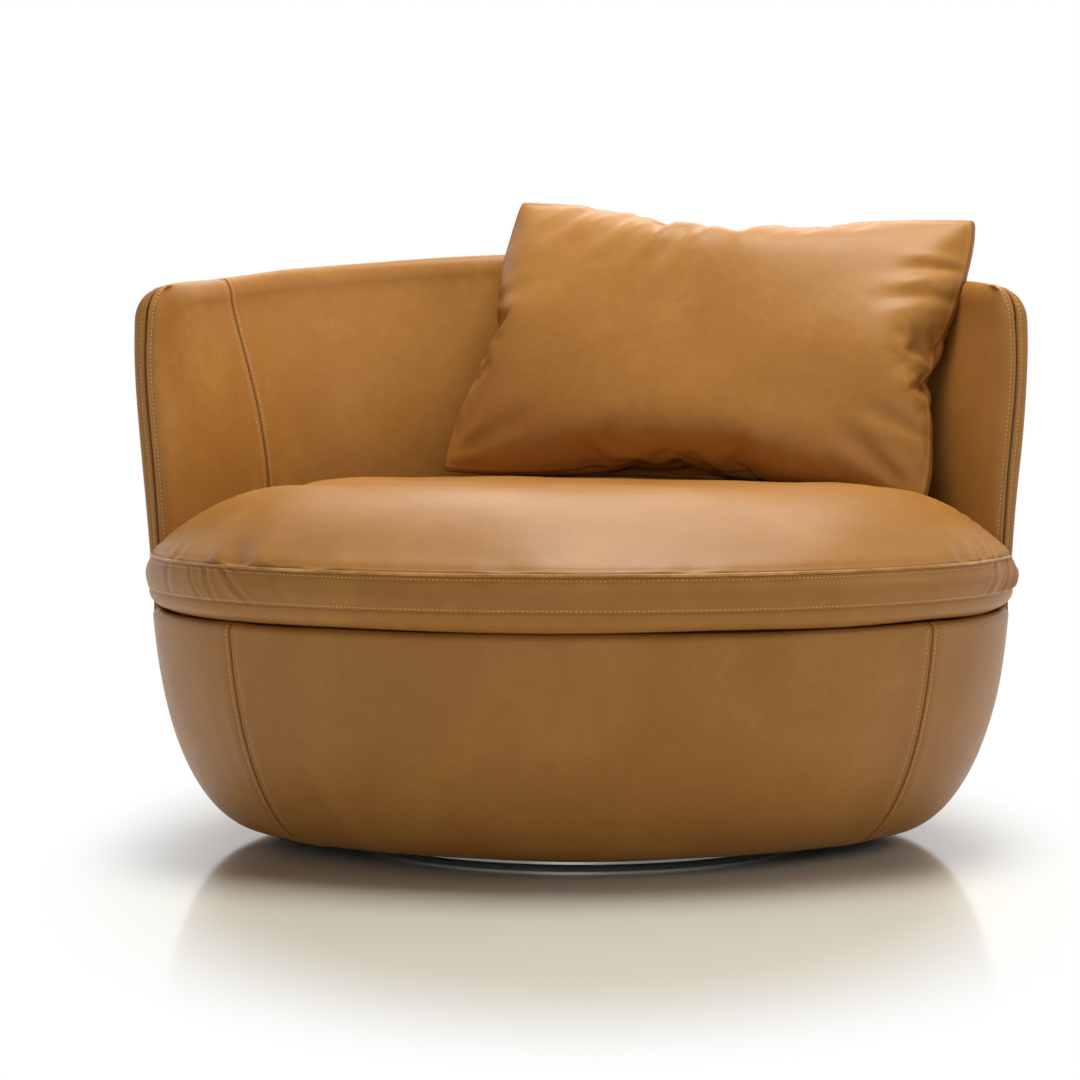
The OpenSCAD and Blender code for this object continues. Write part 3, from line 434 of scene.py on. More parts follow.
    def inner_patches(self, turns, nose):
        """The inner leather: the inner face and the nose up to the rim's middle, the roll's
        outer half down to the rim seam, and the nose's shoulder under it. Points beside the
        nose's top are drawn on to it, so that its many columns meet in one pole."""
        roll = np.linspace(0, 1, 24)
        k = np.concatenate([np.linspace(0, 1, 64), 1 + roll[1:]])[:, None]
        turns = np.asarray(turns, float)
        inner = self.wall(self.slanted(turns[None], k), 180.0, k)
        if nose:
            v = dense(0, 1, 76, "low")
            inner = np.concatenate([self.arm_face(v[None], k)[:, :-1], inner], 1)
            turns = np.concatenate([self.ridge_turn(v)[:-1], turns])
        over = self.roll_split + (2 - self.roll_split) * roll[:, None]
        patches = [inner, self.wall(self.slanted(turns[None], over), 0.0, over)[::-1]]
        if nose:
            shoulder = np.linspace(0, self.seam_side, 16)[None]
            low = self.seam_k(shoulder)
            patches.append(self.wall(turns[0], shoulder, low + (2 - low) * roll[:, None]))
            pole = self.wall(turns[0], 0.0, 2.0)
            for p in patches:
                p[np.linalg.norm(p - pole, axis=-1) < self.pole_r] = pole
        return patches

    def base_panel(self, turns):
        """Rows from the hem up the lower corner, over the edge's roll and inwards on the deck."""
        turn = np.asarray(turns, float)[None]
        a = np.linspace(90, 0, 56)[:, None]
        inset, z = self.corner(a, turn)
        lean = self.lean(self.deck)
        roll = np.radians(np.linspace(0, 90, 12)[1:, None])
        rolled = np.minimum(turn, self.size.arm_turn - self.edge_stop)
        flat = np.linspace(lean + self.edge_r, lean + self.flap, 8)[1:, None]
        return np.concatenate([
            self.hem_row(turn, 0),
            self.point(turn, inset, z),
            self.point(
                turn + (rolled - turn) * np.sin(roll),
                lean + self.edge_r * (1 - np.cos(roll)), self.deck + self.edge_r * np.sin(roll),
            ),
            self.point(rolled, flat,
                       self.size.front_height - self.flap_fall * (flat - lean - self.edge_r)),
        ])

    def outer_grids(self):
        """The grids of the outer leather's panels, by name."""
        size = self.size
        side = np.concatenate([dense(self.seam_side, 0, 14, "low"), np.zeros(78)])
        turn = np.concatenate([np.full(14, size.arm_turn),
                               dense(size.arm_turn, size.back_seam, 79, "high")[1:]])
        right = self.outer_panel(turn, side)
        back = self.outer_panel(dense(size.back_seam, 180, 60, "low", 0.9), np.zeros(60))
        return {"outer_leather_right": [right], "outer_leather_left": [mirrored(right)],
                "outer_leather_back": [back, mirrored(back)]}

    def inner_grids(self):
        """The grids of the inner leather's panels, by name."""
        size = self.size
        turns = dense(self.blend_turn, size.inner_seam, 40, "high")
        arm = [p[:, ::-1] for p in self.inner_patches(turns, True)]
        back = self.inner_patches(dense(size.inner_seam, 180, 110, "low", 0.9), False)
        back = [p[:, ::-1] for p in back]
        return {"inner_leather_right": arm, "inner_leather_left": [mirrored(p) for p in arm],
                "inner_leather_back": back + [mirrored(p) for p in back]}

    def base_grids(self):
        """The grids of the bowl's panels, by name."""
        size = self.size
        edge = size.arm_turn - self.low_split
        side = self.base_panel(dense(size.front_seam, edge, 84, "both"))
        front = self.base_panel(dense(-size.front_seam, size.front_seam, 150, "both", 0.9))
        return {"base_leather_right": [side], "base_leather_left": [mirrored(side)],
                "base_leather_front": [front]}

    def rim_seam(self):
        """The seam between outer and inner leather: up the right nose and along the rim's roll
        to the middle of the back."""
        side = self.seam_side * np.sin(np.linspace(FULL_TURN / 4, 0, 60))
        up = self.wall(self.size.arm_turn, self.seam_side, np.linspace(0, 1, 120))
        over = self.wall(self.size.arm_turn, side, self.seam_k(side))
        along = self.wall(np.linspace(self.size.arm_turn, 180, 500), 0.0, self.roll_split)
        return np.concatenate([up, over[1:], along[1:]])

    def inner_line(self):
        """The inner seam, from the deck over the rim to the rim seam."""
        up, over = np.linspace(0, 2, 200), np.linspace(2, self.roll_split, 12)[1:]
        turn = self.size.inner_seam
        return np.concatenate([
            self.wall(self.slanted(turn, up), 180.0, up),
            self.wall(self.slanted(turn, over), 0.0, over),
        ])

    def outer_line(self):
        """The seam behind, from the hem up to the rim seam."""
        turn = self.size.back_seam
        return np.concatenate([
            self.under(turn, 0, np.linspace(90, 0, 120)),
            self.wall(turn, 0.0, np.linspace(0, self.roll_split, 200)[1:]),
        ])

    def base_line(self):
        """The seam at the front corner, from the hem over the rolled edge."""
        return self.base_panel([self.size.front_seam])[1:, 0]

    def join_line(self):
        """The outer leather's front edge beside the base."""
        return self.under(self.size.arm_turn, self.seam_side, np.linspace(90, 0, 120))


def mirrored(p):
    """The same points on the other side of the chair. A grid's columns turn round, so that its
    faces still point outwards."""
    q = p * MIRROR
    return q[:, ::-1] if q.ndim == 3 else q


# Meshes


def grid_quads(rows, cols, wrap=False):
    """Corner numbers of a grid's quads, each i, j to i + 1, j + 1."""
    i = np.arange(rows - 1)[:, None]
    j = np.arange(cols if wrap else cols - 1)[None]
    a, b = i * cols + j, i * cols + (j + 1) % cols
    return np.stack([a, b, b + cols, a + cols], -1).reshape(-1, 4)


def raw_mesh(name, points, quads):
    """A mesh from point and quad arrays."""
    mesh = bpy.data.meshes.new(name)
    mesh.vertices.add(len(points))
    mesh.vertices.foreach_set("co", np.asarray(points, np.float32).ravel())
    mesh.loops.add(quads.size)
    mesh.loops.foreach_set("vertex_index", quads.astype(np.int32).ravel())
    mesh.polygons.add(len(quads))
    starts = np.arange(0, quads.size, quads.shape[1], dtype=np.int32)
    mesh.polygons.foreach_set("loop_start", starts)
    mesh.update(calc_edges=True)
    mesh.validate()
    return mesh


def weld(mesh):
    """Merges doubled points, so that the patches' seams and poles are closed."""
    bm = bmesh.new()
    bm.from_mesh(mesh)
    bmesh.ops.remove_doubles(bm, verts=bm.verts, dist=2e-5)
    bmesh.ops.dissolve_degenerate(bm, edges=bm.edges, dist=1e-6)
    bm.to_mesh(mesh)
    bm.free()
    mesh.update()


def joined(patches, wrap=False):
    """The points and quads of several grids."""
    starts = np.cumsum([0] + [p.shape[0] * p.shape[1] for p in patches])
    quads = [grid_quads(*p.shape[:2], wrap) + start for p, start in zip(patches, starts)]
    return np.concatenate([p.reshape(-1, 3) for p in patches]), np.concatenate(quads)


def patch_mesh(name, patches, wrap=False):
    """One welded mesh from grids of points."""
    mesh = raw_mesh(name, *joined(patches, wrap))
    weld(mesh)
    return mesh


def coords(mesh):
    """The mesh's points as an array."""
    co = np.empty(len(mesh.vertices) * 3, np.float32)
    mesh.vertices.foreach_get("co", co)
    return co.reshape(-1, 3).astype(float)


def normals(mesh):
    """The mesh's point normals as an array."""
    n = np.empty(len(mesh.vertices) * 3, np.float32)
    mesh.vertex_normals.foreach_get("vector", n)
    return n.reshape(-1, 3).astype(float)


def set_coords(mesh, co):
    """Puts the points back."""
    mesh.vertices.foreach_set("co", np.asarray(co, np.float32).ravel())
    mesh.update()


def mark_seams(mesh, distance, groove_shade=1.0, rubbed=1.0, width=SHADED_GROOVE):
    """Two numbers for each point, which the leather reads: seam for the painted shade in the
    groove, and edge for the rubbed fold beside it. Both are Gaussians of the distance."""
    at, half = FOLDED_EDGE
    for name, values in (("seam", groove_shade * bell(distance, width)),
                         ("edge", rubbed * bell(distance - at, half))):
        layer = mesh.attributes.new(name, "FLOAT", "POINT")
        layer.data.foreach_set("value", np.asarray(values, np.float32))


def add_object(name, mesh, material, smooth_faces=True):
    """An object at the origin with one material."""
    obj = bpy.data.objects.new(name, mesh)
    bpy.context.scene.collection.objects.link(obj)
    mesh.materials.clear()
    mesh.materials.append(material)
    mesh.polygons.foreach_set("use_smooth", [smooth_faces] * len(mesh.polygons))
    mesh.update()
    return obj


def apply_modifiers(obj):
    """Bakes the object's modifiers into its mesh."""
    depsgraph = bpy.context.evaluated_depsgraph_get()
    mesh = bpy.data.meshes.new_from_object(obj.evaluated_get(depsgraph))
    obj.modifiers.clear()
    obj.data = mesh


def settle(obj, body, replaced=()):
    """Hangs a finished piece on its body."""
    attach(obj, body)
    if replaced:
        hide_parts(*replaced)


def ease_out(mesh, pole, radius=0.012):
    """Evens out the small bumps where many columns of a grid meet in a pole."""
    shape = bmesh.new()
    shape.from_mesh(mesh)
    near = [v for v in shape.verts if (v.co - Vector(pole)).length < radius]
    for _ in range(15):
        bmesh.ops.smooth_vert(shape, verts=near, factor=0.5, use_axis_x=True, use_axis_y=True,
                              use_axis_z=True)
    shape.to_mesh(mesh)
    shape.free()


def leather_panel(name, patches, seams, material, seed, poles=()):
    """A sheet of leather: the patches, moved along their normals by the seams' relief and a
    slow unevenness of 0.6 mm, then given the leather's thickness inwards."""
    mesh = patch_mesh(name, patches)
    co = coords(mesh)
    distance = distance_to(co, seams)
    uneven = 0.0006 * waves(co, 0.16, seed) * smooth(distance / 0.03)
    relief = seam_relief(distance) + uneven
    set_coords(mesh, co + normals(mesh) * relief[:, None])
    for pole in poles:
        ease_out(mesh, pole)
    # The seam number paints shade into the grooves
    mark_seams(mesh, distance)
    obj = add_object(name, mesh, material)
    wall = obj.modifiers.new("Thickness", "SOLIDIFY")
    wall.thickness, wall.offset, wall.use_even_offset = LEATHER_T, -1, False
    return obj


def surface_tree(objects):
    """A search tree over the objects' own meshes."""
    points, quads, start = [], [], 0
    for obj in objects:
        co = coords(obj.data)
        points.append(co)
        quads += [[v + start for v in p.vertices] for p in obj.data.polygons]
        start += len(co)
    return BVHTree.FromPolygons(np.concatenate(points).tolist(), quads)


def on_surface(tree, curve):
    """The nearest points of a surface to a curve, and the surface's normals there."""
    found = [tree.find_nearest(p) for p in curve.tolist()]
    return np.array([f[0] for f in found]), np.array([f[1] for f in found])


def unit(v):
    """The same directions with length 1."""
    return v / np.maximum(np.linalg.norm(v, axis=1, keepdims=True), 1e-9)


def tangents(curve, closed):
    """Unit directions along a curve, from its neighbours' difference."""
    if closed:
        return unit(np.roll(curve, -1, 0) - np.roll(curve, 1, 0))
    return unit(np.gradient(curve, axis=0))


def plain_tree(grids):
    """A search tree of named panels' grids, before their relief."""
    points, quads = joined([p for patches in grids.values() for p in patches])
    return BVHTree.FromPolygons(points.tolist(), quads.tolist())


def stitch_row(tree, curve, shift, pitch, closed=False, trim=0.0, plain=None):
    """Places of stitches beside a curve on a surface: centres, directions and normals. The
    shift is measured on the plain surface, without relief."""
    plain = plain or tree
    line = resample(curve, pitch, closed)
    along = tangents(line, closed)
    side = np.cross(on_surface(plain, line)[1], along)
    for _ in range(3 if shift else 1):
        side = side - (side * along).sum(-1)[:, None] * along
        side = unit(soften(side, 0.01, pitch, closed))
        row = line + side * shift
        if shift:
            side = (on_surface(plain, row)[0] - line) / shift
    row = resample(row, pitch, closed)
    if trim:
        skip = max(1, int(trim / pitch))
        row = row[skip:-skip]
    at, n = on_surface(tree, row)
    return at, tangents(at, closed), unit(soften(n, 0.006, pitch, closed))


def capsules(rows, length_m, width, height, sink, shift=0.0, rings=4):
    """Small six-sided bars at places on a surface, sunk into it a little. Their rings run along
    the stitch and narrow by 0.75 of its fourth power, so that the ends are blunt."""
    sides = 6
    at, along, n = (np.concatenate([row[i] for row in rows]) for i in range(3))
    side = unit(np.cross(n, along))
    u = np.linspace(-1, 1, rings)
    r = (1 - np.abs(u) ** 4 * 0.75)[:, None]
    ang = np.arange(sides) * FULL_TURN / sides
    ring = np.stack([
        np.repeat(u[:, None], sides, 1) * length_m / 2,
        r * np.cos(ang) * width / 2, r * np.sin(ang) * height / 2,
    ], -1).reshape(-1, 3)
    axes = np.stack([along, side, n], 1)
    points = (ring[None] @ axes) + (at + along * shift - n * sink)[:, None]
    quads = grid_quads(rings, sides, True)
    end = np.array([[0, 1, 2, 3], [0, 3, 4, 5]])[:, ::-1]
    quads = np.concatenate([quads, end, end[:, ::-1] + (rings - 1) * sides])
    every = np.arange(len(at))[:, None, None] * ring.shape[0] + quads[None]
    return points.reshape(-1, 3), every.reshape(-1, 4)


def stitches(name, rows, body):
    """The threads of these rows, and dark bars of painted shade for the needle holes between them,
    as two pieces.
    """
    pitch = bpy.context.scene.armchair_leather.pitch
    bars = capsules(rows, pitch * 0.64, 0.0012, 0.0010, 0.0001)
    settle(add_object(name, raw_mesh(name, *bars), thread_material()), body)
    name += "_holes"
    # The second piece is dark bars of painted shade for the needle holes
    bars = capsules(rows, pitch * 0.24, 0.0013, 0.0010, 0.0004, shift=pitch / 2, rings=3)
    settle(add_object(name, raw_mesh(name, *bars), needle_hole_shade_material()), body)


def tube(curve, radius, sides=10):
    """A round cord along a closed level curve: circles of the radius square to it."""
    along = tangents(curve, True)
    side = unit(np.cross(along, (0, 0, 1.0)))
    up = np.cross(side, along)
    ang = (np.arange(sides) * FULL_TURN / sides)[None, :, None]
    ring = curve[:, None] + radius * (np.cos(ang) * side[:, None] + np.sin(ang) * up[:, None])
    return np.concatenate([ring, ring[:1]])


# Materials


def new_material(name):
    """A material and its empty node tree, or None for the tree if the material is there."""
    old = bpy.data.materials.get(name)
    if old:
        return old, None
    material = bpy.data.materials.new(name)
    material.use_nodes = True
    material.node_tree.nodes.clear()
    return material, material.node_tree


def add_node(tree, kind, settings=(), **sockets):
    """Adds a node, whose kind leaves out its first word, ShaderNode, and sets its properties and
    its sockets. A socket's value may be another node's output, which is then linked."""
    node = tree.nodes.new("ShaderNode" + kind)
    for key, value in dict(settings).items():
        setattr(node, key, value)
    for key, value in sockets.items():
        socket = next(
            s for s in node.inputs
            if s.identifier == key or (s.name == key.replace("_", " ") and s.enabled)
        )
        if isinstance(value, bpy.types.NodeSocket):
            tree.links.new(value, socket)
        else:
            socket.default_value = value
    return node


def leather_material(name, mid, light, dark, seed):
    """Semi-aniline cowhide, drum-dyed and lightly finished: the dye takes unevenly, so slow
    clouds of lighter and darker tan show through, with a fine pebbled grain, faint scars, rubbed
    folded edges beside the seams, and painted shade, a dark brown, in the seams' grooves."""
    material, tree = new_material(name)
    if tree is None:
        return material
    soft_step = {"interpolation_type": "SMOOTHSTEP"}
    multiply = {"operation": "MULTIPLY"}
    place = add_node(tree, "TexCoord").outputs["Object"]
    moved = add_node(
        tree, "Mapping", Vector=place, Location=(seed * 1.7, seed * 0.9, seed * 0.3)
    ).outputs[0]
    # Dye clouds of about 140 mm, with flecks of about 17 mm
    cloud = add_node(tree, "TexNoise", Vector=moved, Scale=7.0, Detail=4.0, Roughness=0.55,
                     Distortion=0.6).outputs["Fac"]
    fleck = add_node(tree, "TexNoise", Vector=moved, Scale=60.0, Detail=5.0,
                     Roughness=0.65).outputs["Fac"]
    both = add_node(tree, "Mix", {"data_type": "FLOAT"}, Factor_Float=0.34, A_Float=cloud,
                    B_Float=fleck).outputs["Result"]
    ramp = add_node(tree, "ValToRGB", Fac=both)
    stops = ramp.color_ramp.elements
    stops[0].position, stops[0].color = 0.3, linear(dark)
    stops[1].position, stops[1].color = 0.72, linear(light)
    stops.new(0.5).color = linear(mid)
    # Scars: the edges of warped cells, about 120 mm wide and 220 mm high, in the light clouds
    scar_place = add_node(tree, "Mapping", Vector=moved, Scale=(9, 9, 5),
                          Rotation=(0.5, 0.8, 0.3)).outputs[0]
    wander = add_node(tree, "TexNoise", Vector=scar_place, Scale=1.6, Detail=3.0).outputs["Color"]
    bent = add_node(tree, "Mix", {"data_type": "VECTOR"}, Factor_Float=0.35, A_Vector=scar_place,
                    B_Vector=wander).outputs[1]
    cell = add_node(tree, "TexVoronoi", {"feature": "DISTANCE_TO_EDGE"}, Vector=bent,
                    Scale=0.9).outputs["Distance"]
    thin = add_node(tree, "MapRange", soft_step, Value=cell, From_Min=0.0, From_Max=0.012,
                    To_Min=1.0, To_Max=0.0).outputs[0]
    sparse = add_node(tree, "MapRange", soft_step, Value=cloud, From_Min=0.5,
                      From_Max=0.62).outputs[0]
    faint = add_node(tree, "Math", multiply, Value=thin, Value_001=0.3).outputs[0]
    scars = add_node(tree, "Math", multiply, Value=faint, Value_001=sparse).outputs[0]
    colour = add_node(tree, "Mix", {"data_type": "RGBA"}, A_Color=ramp.outputs[0],
                      B_Color=linear(light), Factor_Float=scars).outputs["Result"]
    # Folded edges are rubbed lighter, and shade is painted dark brown into the seams' grooves
    for layer, most, over in (("edge", 0.55, light), ("seam", 0.8, "#3A2110")):
        mark = add_node(tree, "Attribute", {"attribute_name": layer}).outputs["Fac"]
        share = add_node(tree, "Math", multiply, Value=mark, Value_001=most).outputs[0]
        colour = add_node(tree, "Mix", {"data_type": "RGBA"}, A_Color=colour,
                          B_Color=linear(over), Factor_Float=share).outputs["Result"]
    # Pebbles are about 2.4 mm, twice the real grain, so that they show in the render, with
    # wrinkles of about 7 mm and slow hollows of about 36 mm
    pebble = add_node(tree, "TexVoronoi", {"feature": "SMOOTH_F1"}, Vector=moved, Scale=420.0,
                      Smoothness=0.6).outputs["Distance"]
    wrinkle = add_node(tree, "TexNoise", Vector=moved, Scale=150.0, Detail=6.0,
                       Roughness=0.6).outputs["Fac"]
    grain = add_node(tree, "Mix", {"data_type": "FLOAT"}, Factor_Float=0.45, A_Float=pebble,
                     B_Float=wrinkle).outputs["Result"]
    fine = add_node(tree, "Bump", Strength=0.22, Distance=0.0006, Height=grain)
    slow = add_node(tree, "TexNoise", Vector=moved, Scale=28.0, Detail=2.0).outputs["Fac"]
    bump = add_node(tree, "Bump", Strength=0.16, Distance=0.004, Height=slow,
                    Normal=fine.outputs[0])
    rough = add_node(tree, "MapRange", Value=fleck, From_Min=0.3, From_Max=0.7, To_Min=0.36,
                     To_Max=0.47).outputs[0]
    shader = add_node(tree, "BsdfPrincipled", Base_Color=colour, Roughness=rough,
                      Normal=bump.outputs[0])
    shader.inputs["Specular IOR Level"].default_value = 0.2
    add_node(tree, "OutputMaterial", Surface=shader.outputs[0])
    return material


def leather(kind):
    """The leather of one part of the chair, each from another part of the hide. The welt is
    skived thinner and rubbed lighter."""
    look = bpy.context.scene.armchair_leather
    seed = {"outer": 1, "inner": 2, "base": 3, "seat": 4, "pillow": 5, "welt": 6}[kind]
    mid, light = (look.light, "#DDB07C") if kind == "welt" else (look.mid, look.light)
    return leather_material("Semi-aniline leather, " + kind, mid, light, look.dark, seed)


def plain_material(name, colour, roughness, metallic=0.0, vary=0.12, scale=40.0, bump=0.0,
                   stretch=(1, 1, 1), sheen=0.0):
    """A finish with one colour that varies by noise, and a bump of the same noise. The noise is
    about 1/scale metres long, less where it is stretched."""
    material, tree = new_material(name)
    if tree is None:
        return material
    place = add_node(tree, "TexCoord").outputs["Object"]
    moved = add_node(tree, "Mapping", Vector=place, Scale=stretch).outputs[0]
    uneven = add_node(tree, "TexNoise", Vector=moved, Scale=scale, Detail=5.0,
                      Roughness=0.6).outputs["Fac"]
    ramp = add_node(tree, "ValToRGB", Fac=uneven)
    stops = ramp.color_ramp.elements
    for stop, position, share in zip(stops, (0.3, 0.7), (1 - vary, 1 + vary)):
        stop.position = position
        stop.color = [min(1, c * share) for c in linear(colour)[:3]] + [1]
    shader = add_node(tree, "BsdfPrincipled", Base_Color=ramp.outputs[0])
    finish = {"Roughness": roughness, "Metallic": metallic, "Sheen Weight": sheen}
    for socket, value in finish.items():
        shader.inputs[socket].default_value = value
    if bump:
        height = add_node(tree, "Bump", Strength=0.5, Distance=bump, Height=uneven)
        tree.links.new(height.outputs[0], shader.inputs["Normal"])
    add_node(tree, "OutputMaterial", Surface=shader.outputs[0])
    return material


def thread_material():
    """Bonded polyester thread, twisted: light tan with a slight gloss."""
    colour = bpy.context.scene.armchair_leather.thread
    return plain_material("Bonded polyester thread", colour, 0.45, scale=900.0, vary=0.15)


def needle_hole_shade_material():
    """Painted shade of the needle holes: dark, with no gloss."""
    return plain_material("Painted needle hole shade", "#2E1A0C", 0.9)


def brushed_steel():
    """Stainless steel sheet, ground on a turntable: fine rings round the axis that stretch
    its highlights. They are about 0.7 mm apart, coarser than the real ones, so that they show."""
    material, tree = new_material("Turned stainless steel")
    if tree is None:
        return material
    place = add_node(tree, "TexCoord").outputs["Object"]
    flat = add_node(tree, "Mapping", Vector=place, Scale=(1, 1, 0)).outputs[0]
    radius = add_node(tree, "VectorMath", {"operation": "LENGTH"}, Vector=flat).outputs["Value"]
    ring = add_node(tree, "TexNoise", {"noise_dimensions": "1D"}, W=radius, Scale=1400.0,
                    Detail=3.0).outputs["Fac"]
    rough = add_node(tree, "MapRange", Value=ring, To_Min=0.2, To_Max=0.42).outputs[0]
    ramp = add_node(tree, "ValToRGB", Fac=ring)
    ramp.color_ramp.elements[0].color = linear("#8E908D")
    ramp.color_ramp.elements[1].color = linear("#B7B9B5")
    bump = add_node(tree, "Bump", Strength=0.1, Distance=0.0002, Height=ring)
    shader = add_node(tree, "BsdfPrincipled", Base_Color=ramp.outputs[0], Roughness=rough,
                      Normal=bump.outputs[0])
    shader.inputs["Metallic"].default_value = 1.0
    shader.inputs["Anisotropic"].default_value = 0.5
    add_node(tree, "OutputMaterial", Surface=shader.outputs[0])
    return material


# Operators


def cover_panels(grids, right_seams, kind, foams, poles=()):
    """One leather panel for each named group of grids, in place of its CAD cover and foam.
    foams and poles: by the panel's side."""
    poles = dict(poles)
    seams = {"right": right_seams, "left": [mirrored(s) for s in right_seams]}
    both = seams["right"] + seams["left"]
    material = leather(kind)
    for number, (name, patches) in enumerate(grids.items()):
        end = name.rsplit("_", 1)[1]
        obj = leather_panel(name, patches, seams.get(end, both), material, seed=11 + number,
                            poles=poles.get(end, ()))
        settle(obj, "tub",
               [f"{kind}_cover_{end}"] + ([foams[end]] if end in foams else []))


class ARMCHAIR_OT_outer_leather(Operator):
    """Leather panels round the outside of the arms and the back"""

    bl_idname = "armchair.outer_leather"
    bl_label = "Outer leather"

    def execute(self, context):
        tub = Tub(context.scene.armchair_tub)
        cover_panels(tub.outer_grids(), [tub.rim_seam(), tub.outer_line(), tub.join_line()],
                     "outer", {})
        return {"FINISHED"}


class ARMCHAIR_OT_inner_leather(Operator):
    """Leather panels inside the arms and the back, with the rounded arm fronts"""

    bl_idname = "armchair.inner_leather"
    bl_label = "Inner leather"

    def execute(self, context):
        tub = Tub(context.scene.armchair_tub)
        pole = tub.wall(tub.size.arm_turn, 0.0, 2.0)
        foams = {"right": "arm_foam_right", "left": "arm_foam_left", "back": "back_foam"}
        cover_panels(tub.inner_grids(), [tub.rim_seam(), tub.inner_line()], "inner", foams,
                     {"right": [pole], "left": [mirrored(pole)]})
        return {"FINISHED"}


class ARMCHAIR_OT_base_leather(Operator):
    """Leather of the bowl in front: the middle panel and a panel at each corner"""

    bl_idname = "armchair.base_leather"
    bl_label = "Base leather"

    def execute(self, context):
        tub = Tub(context.scene.armchair_tub)
        cover_panels(tub.base_grids(), [tub.base_line(), tub.join_line()], "base",
                     {"front": "edge_pad"})
        return {"FINISHED"}


class ARMCHAIR_OT_tub_seams(Operator):
    """Double rows of top-stitching along the tub's seams"""

    bl_idname = "armchair.tub_seams"
    bl_label = "Tub seams"

    def execute(self, context):
        tub = Tub(context.scene.armchair_tub)
        pitch = context.scene.armchair_leather.pitch
        groups = (
            ({**tub.outer_grids(), **tub.inner_grids()},
             (tub.rim_seam(), tub.inner_line(), tub.outer_line())),
            ({**tub.base_grids(), **tub.outer_grids()}, (tub.base_line(), tub.join_line())),
        )
        groups = [
            (surface_tree([bpy.data.objects[name] for name in grids]), plain_tree(grids), lines)
            for grids, lines in groups
        ]
        rows = [
            stitch_row(tree, way(line), shift, pitch, trim=STITCH_TRIM, plain=plain)
            for way in (np.array, mirrored) for shift in (STITCH_OFF, -STITCH_OFF)
            for tree, plain, lines in groups for line in lines
        ]
        stitches("tub_stitches", rows, "tub")
        return {"FINISHED"}


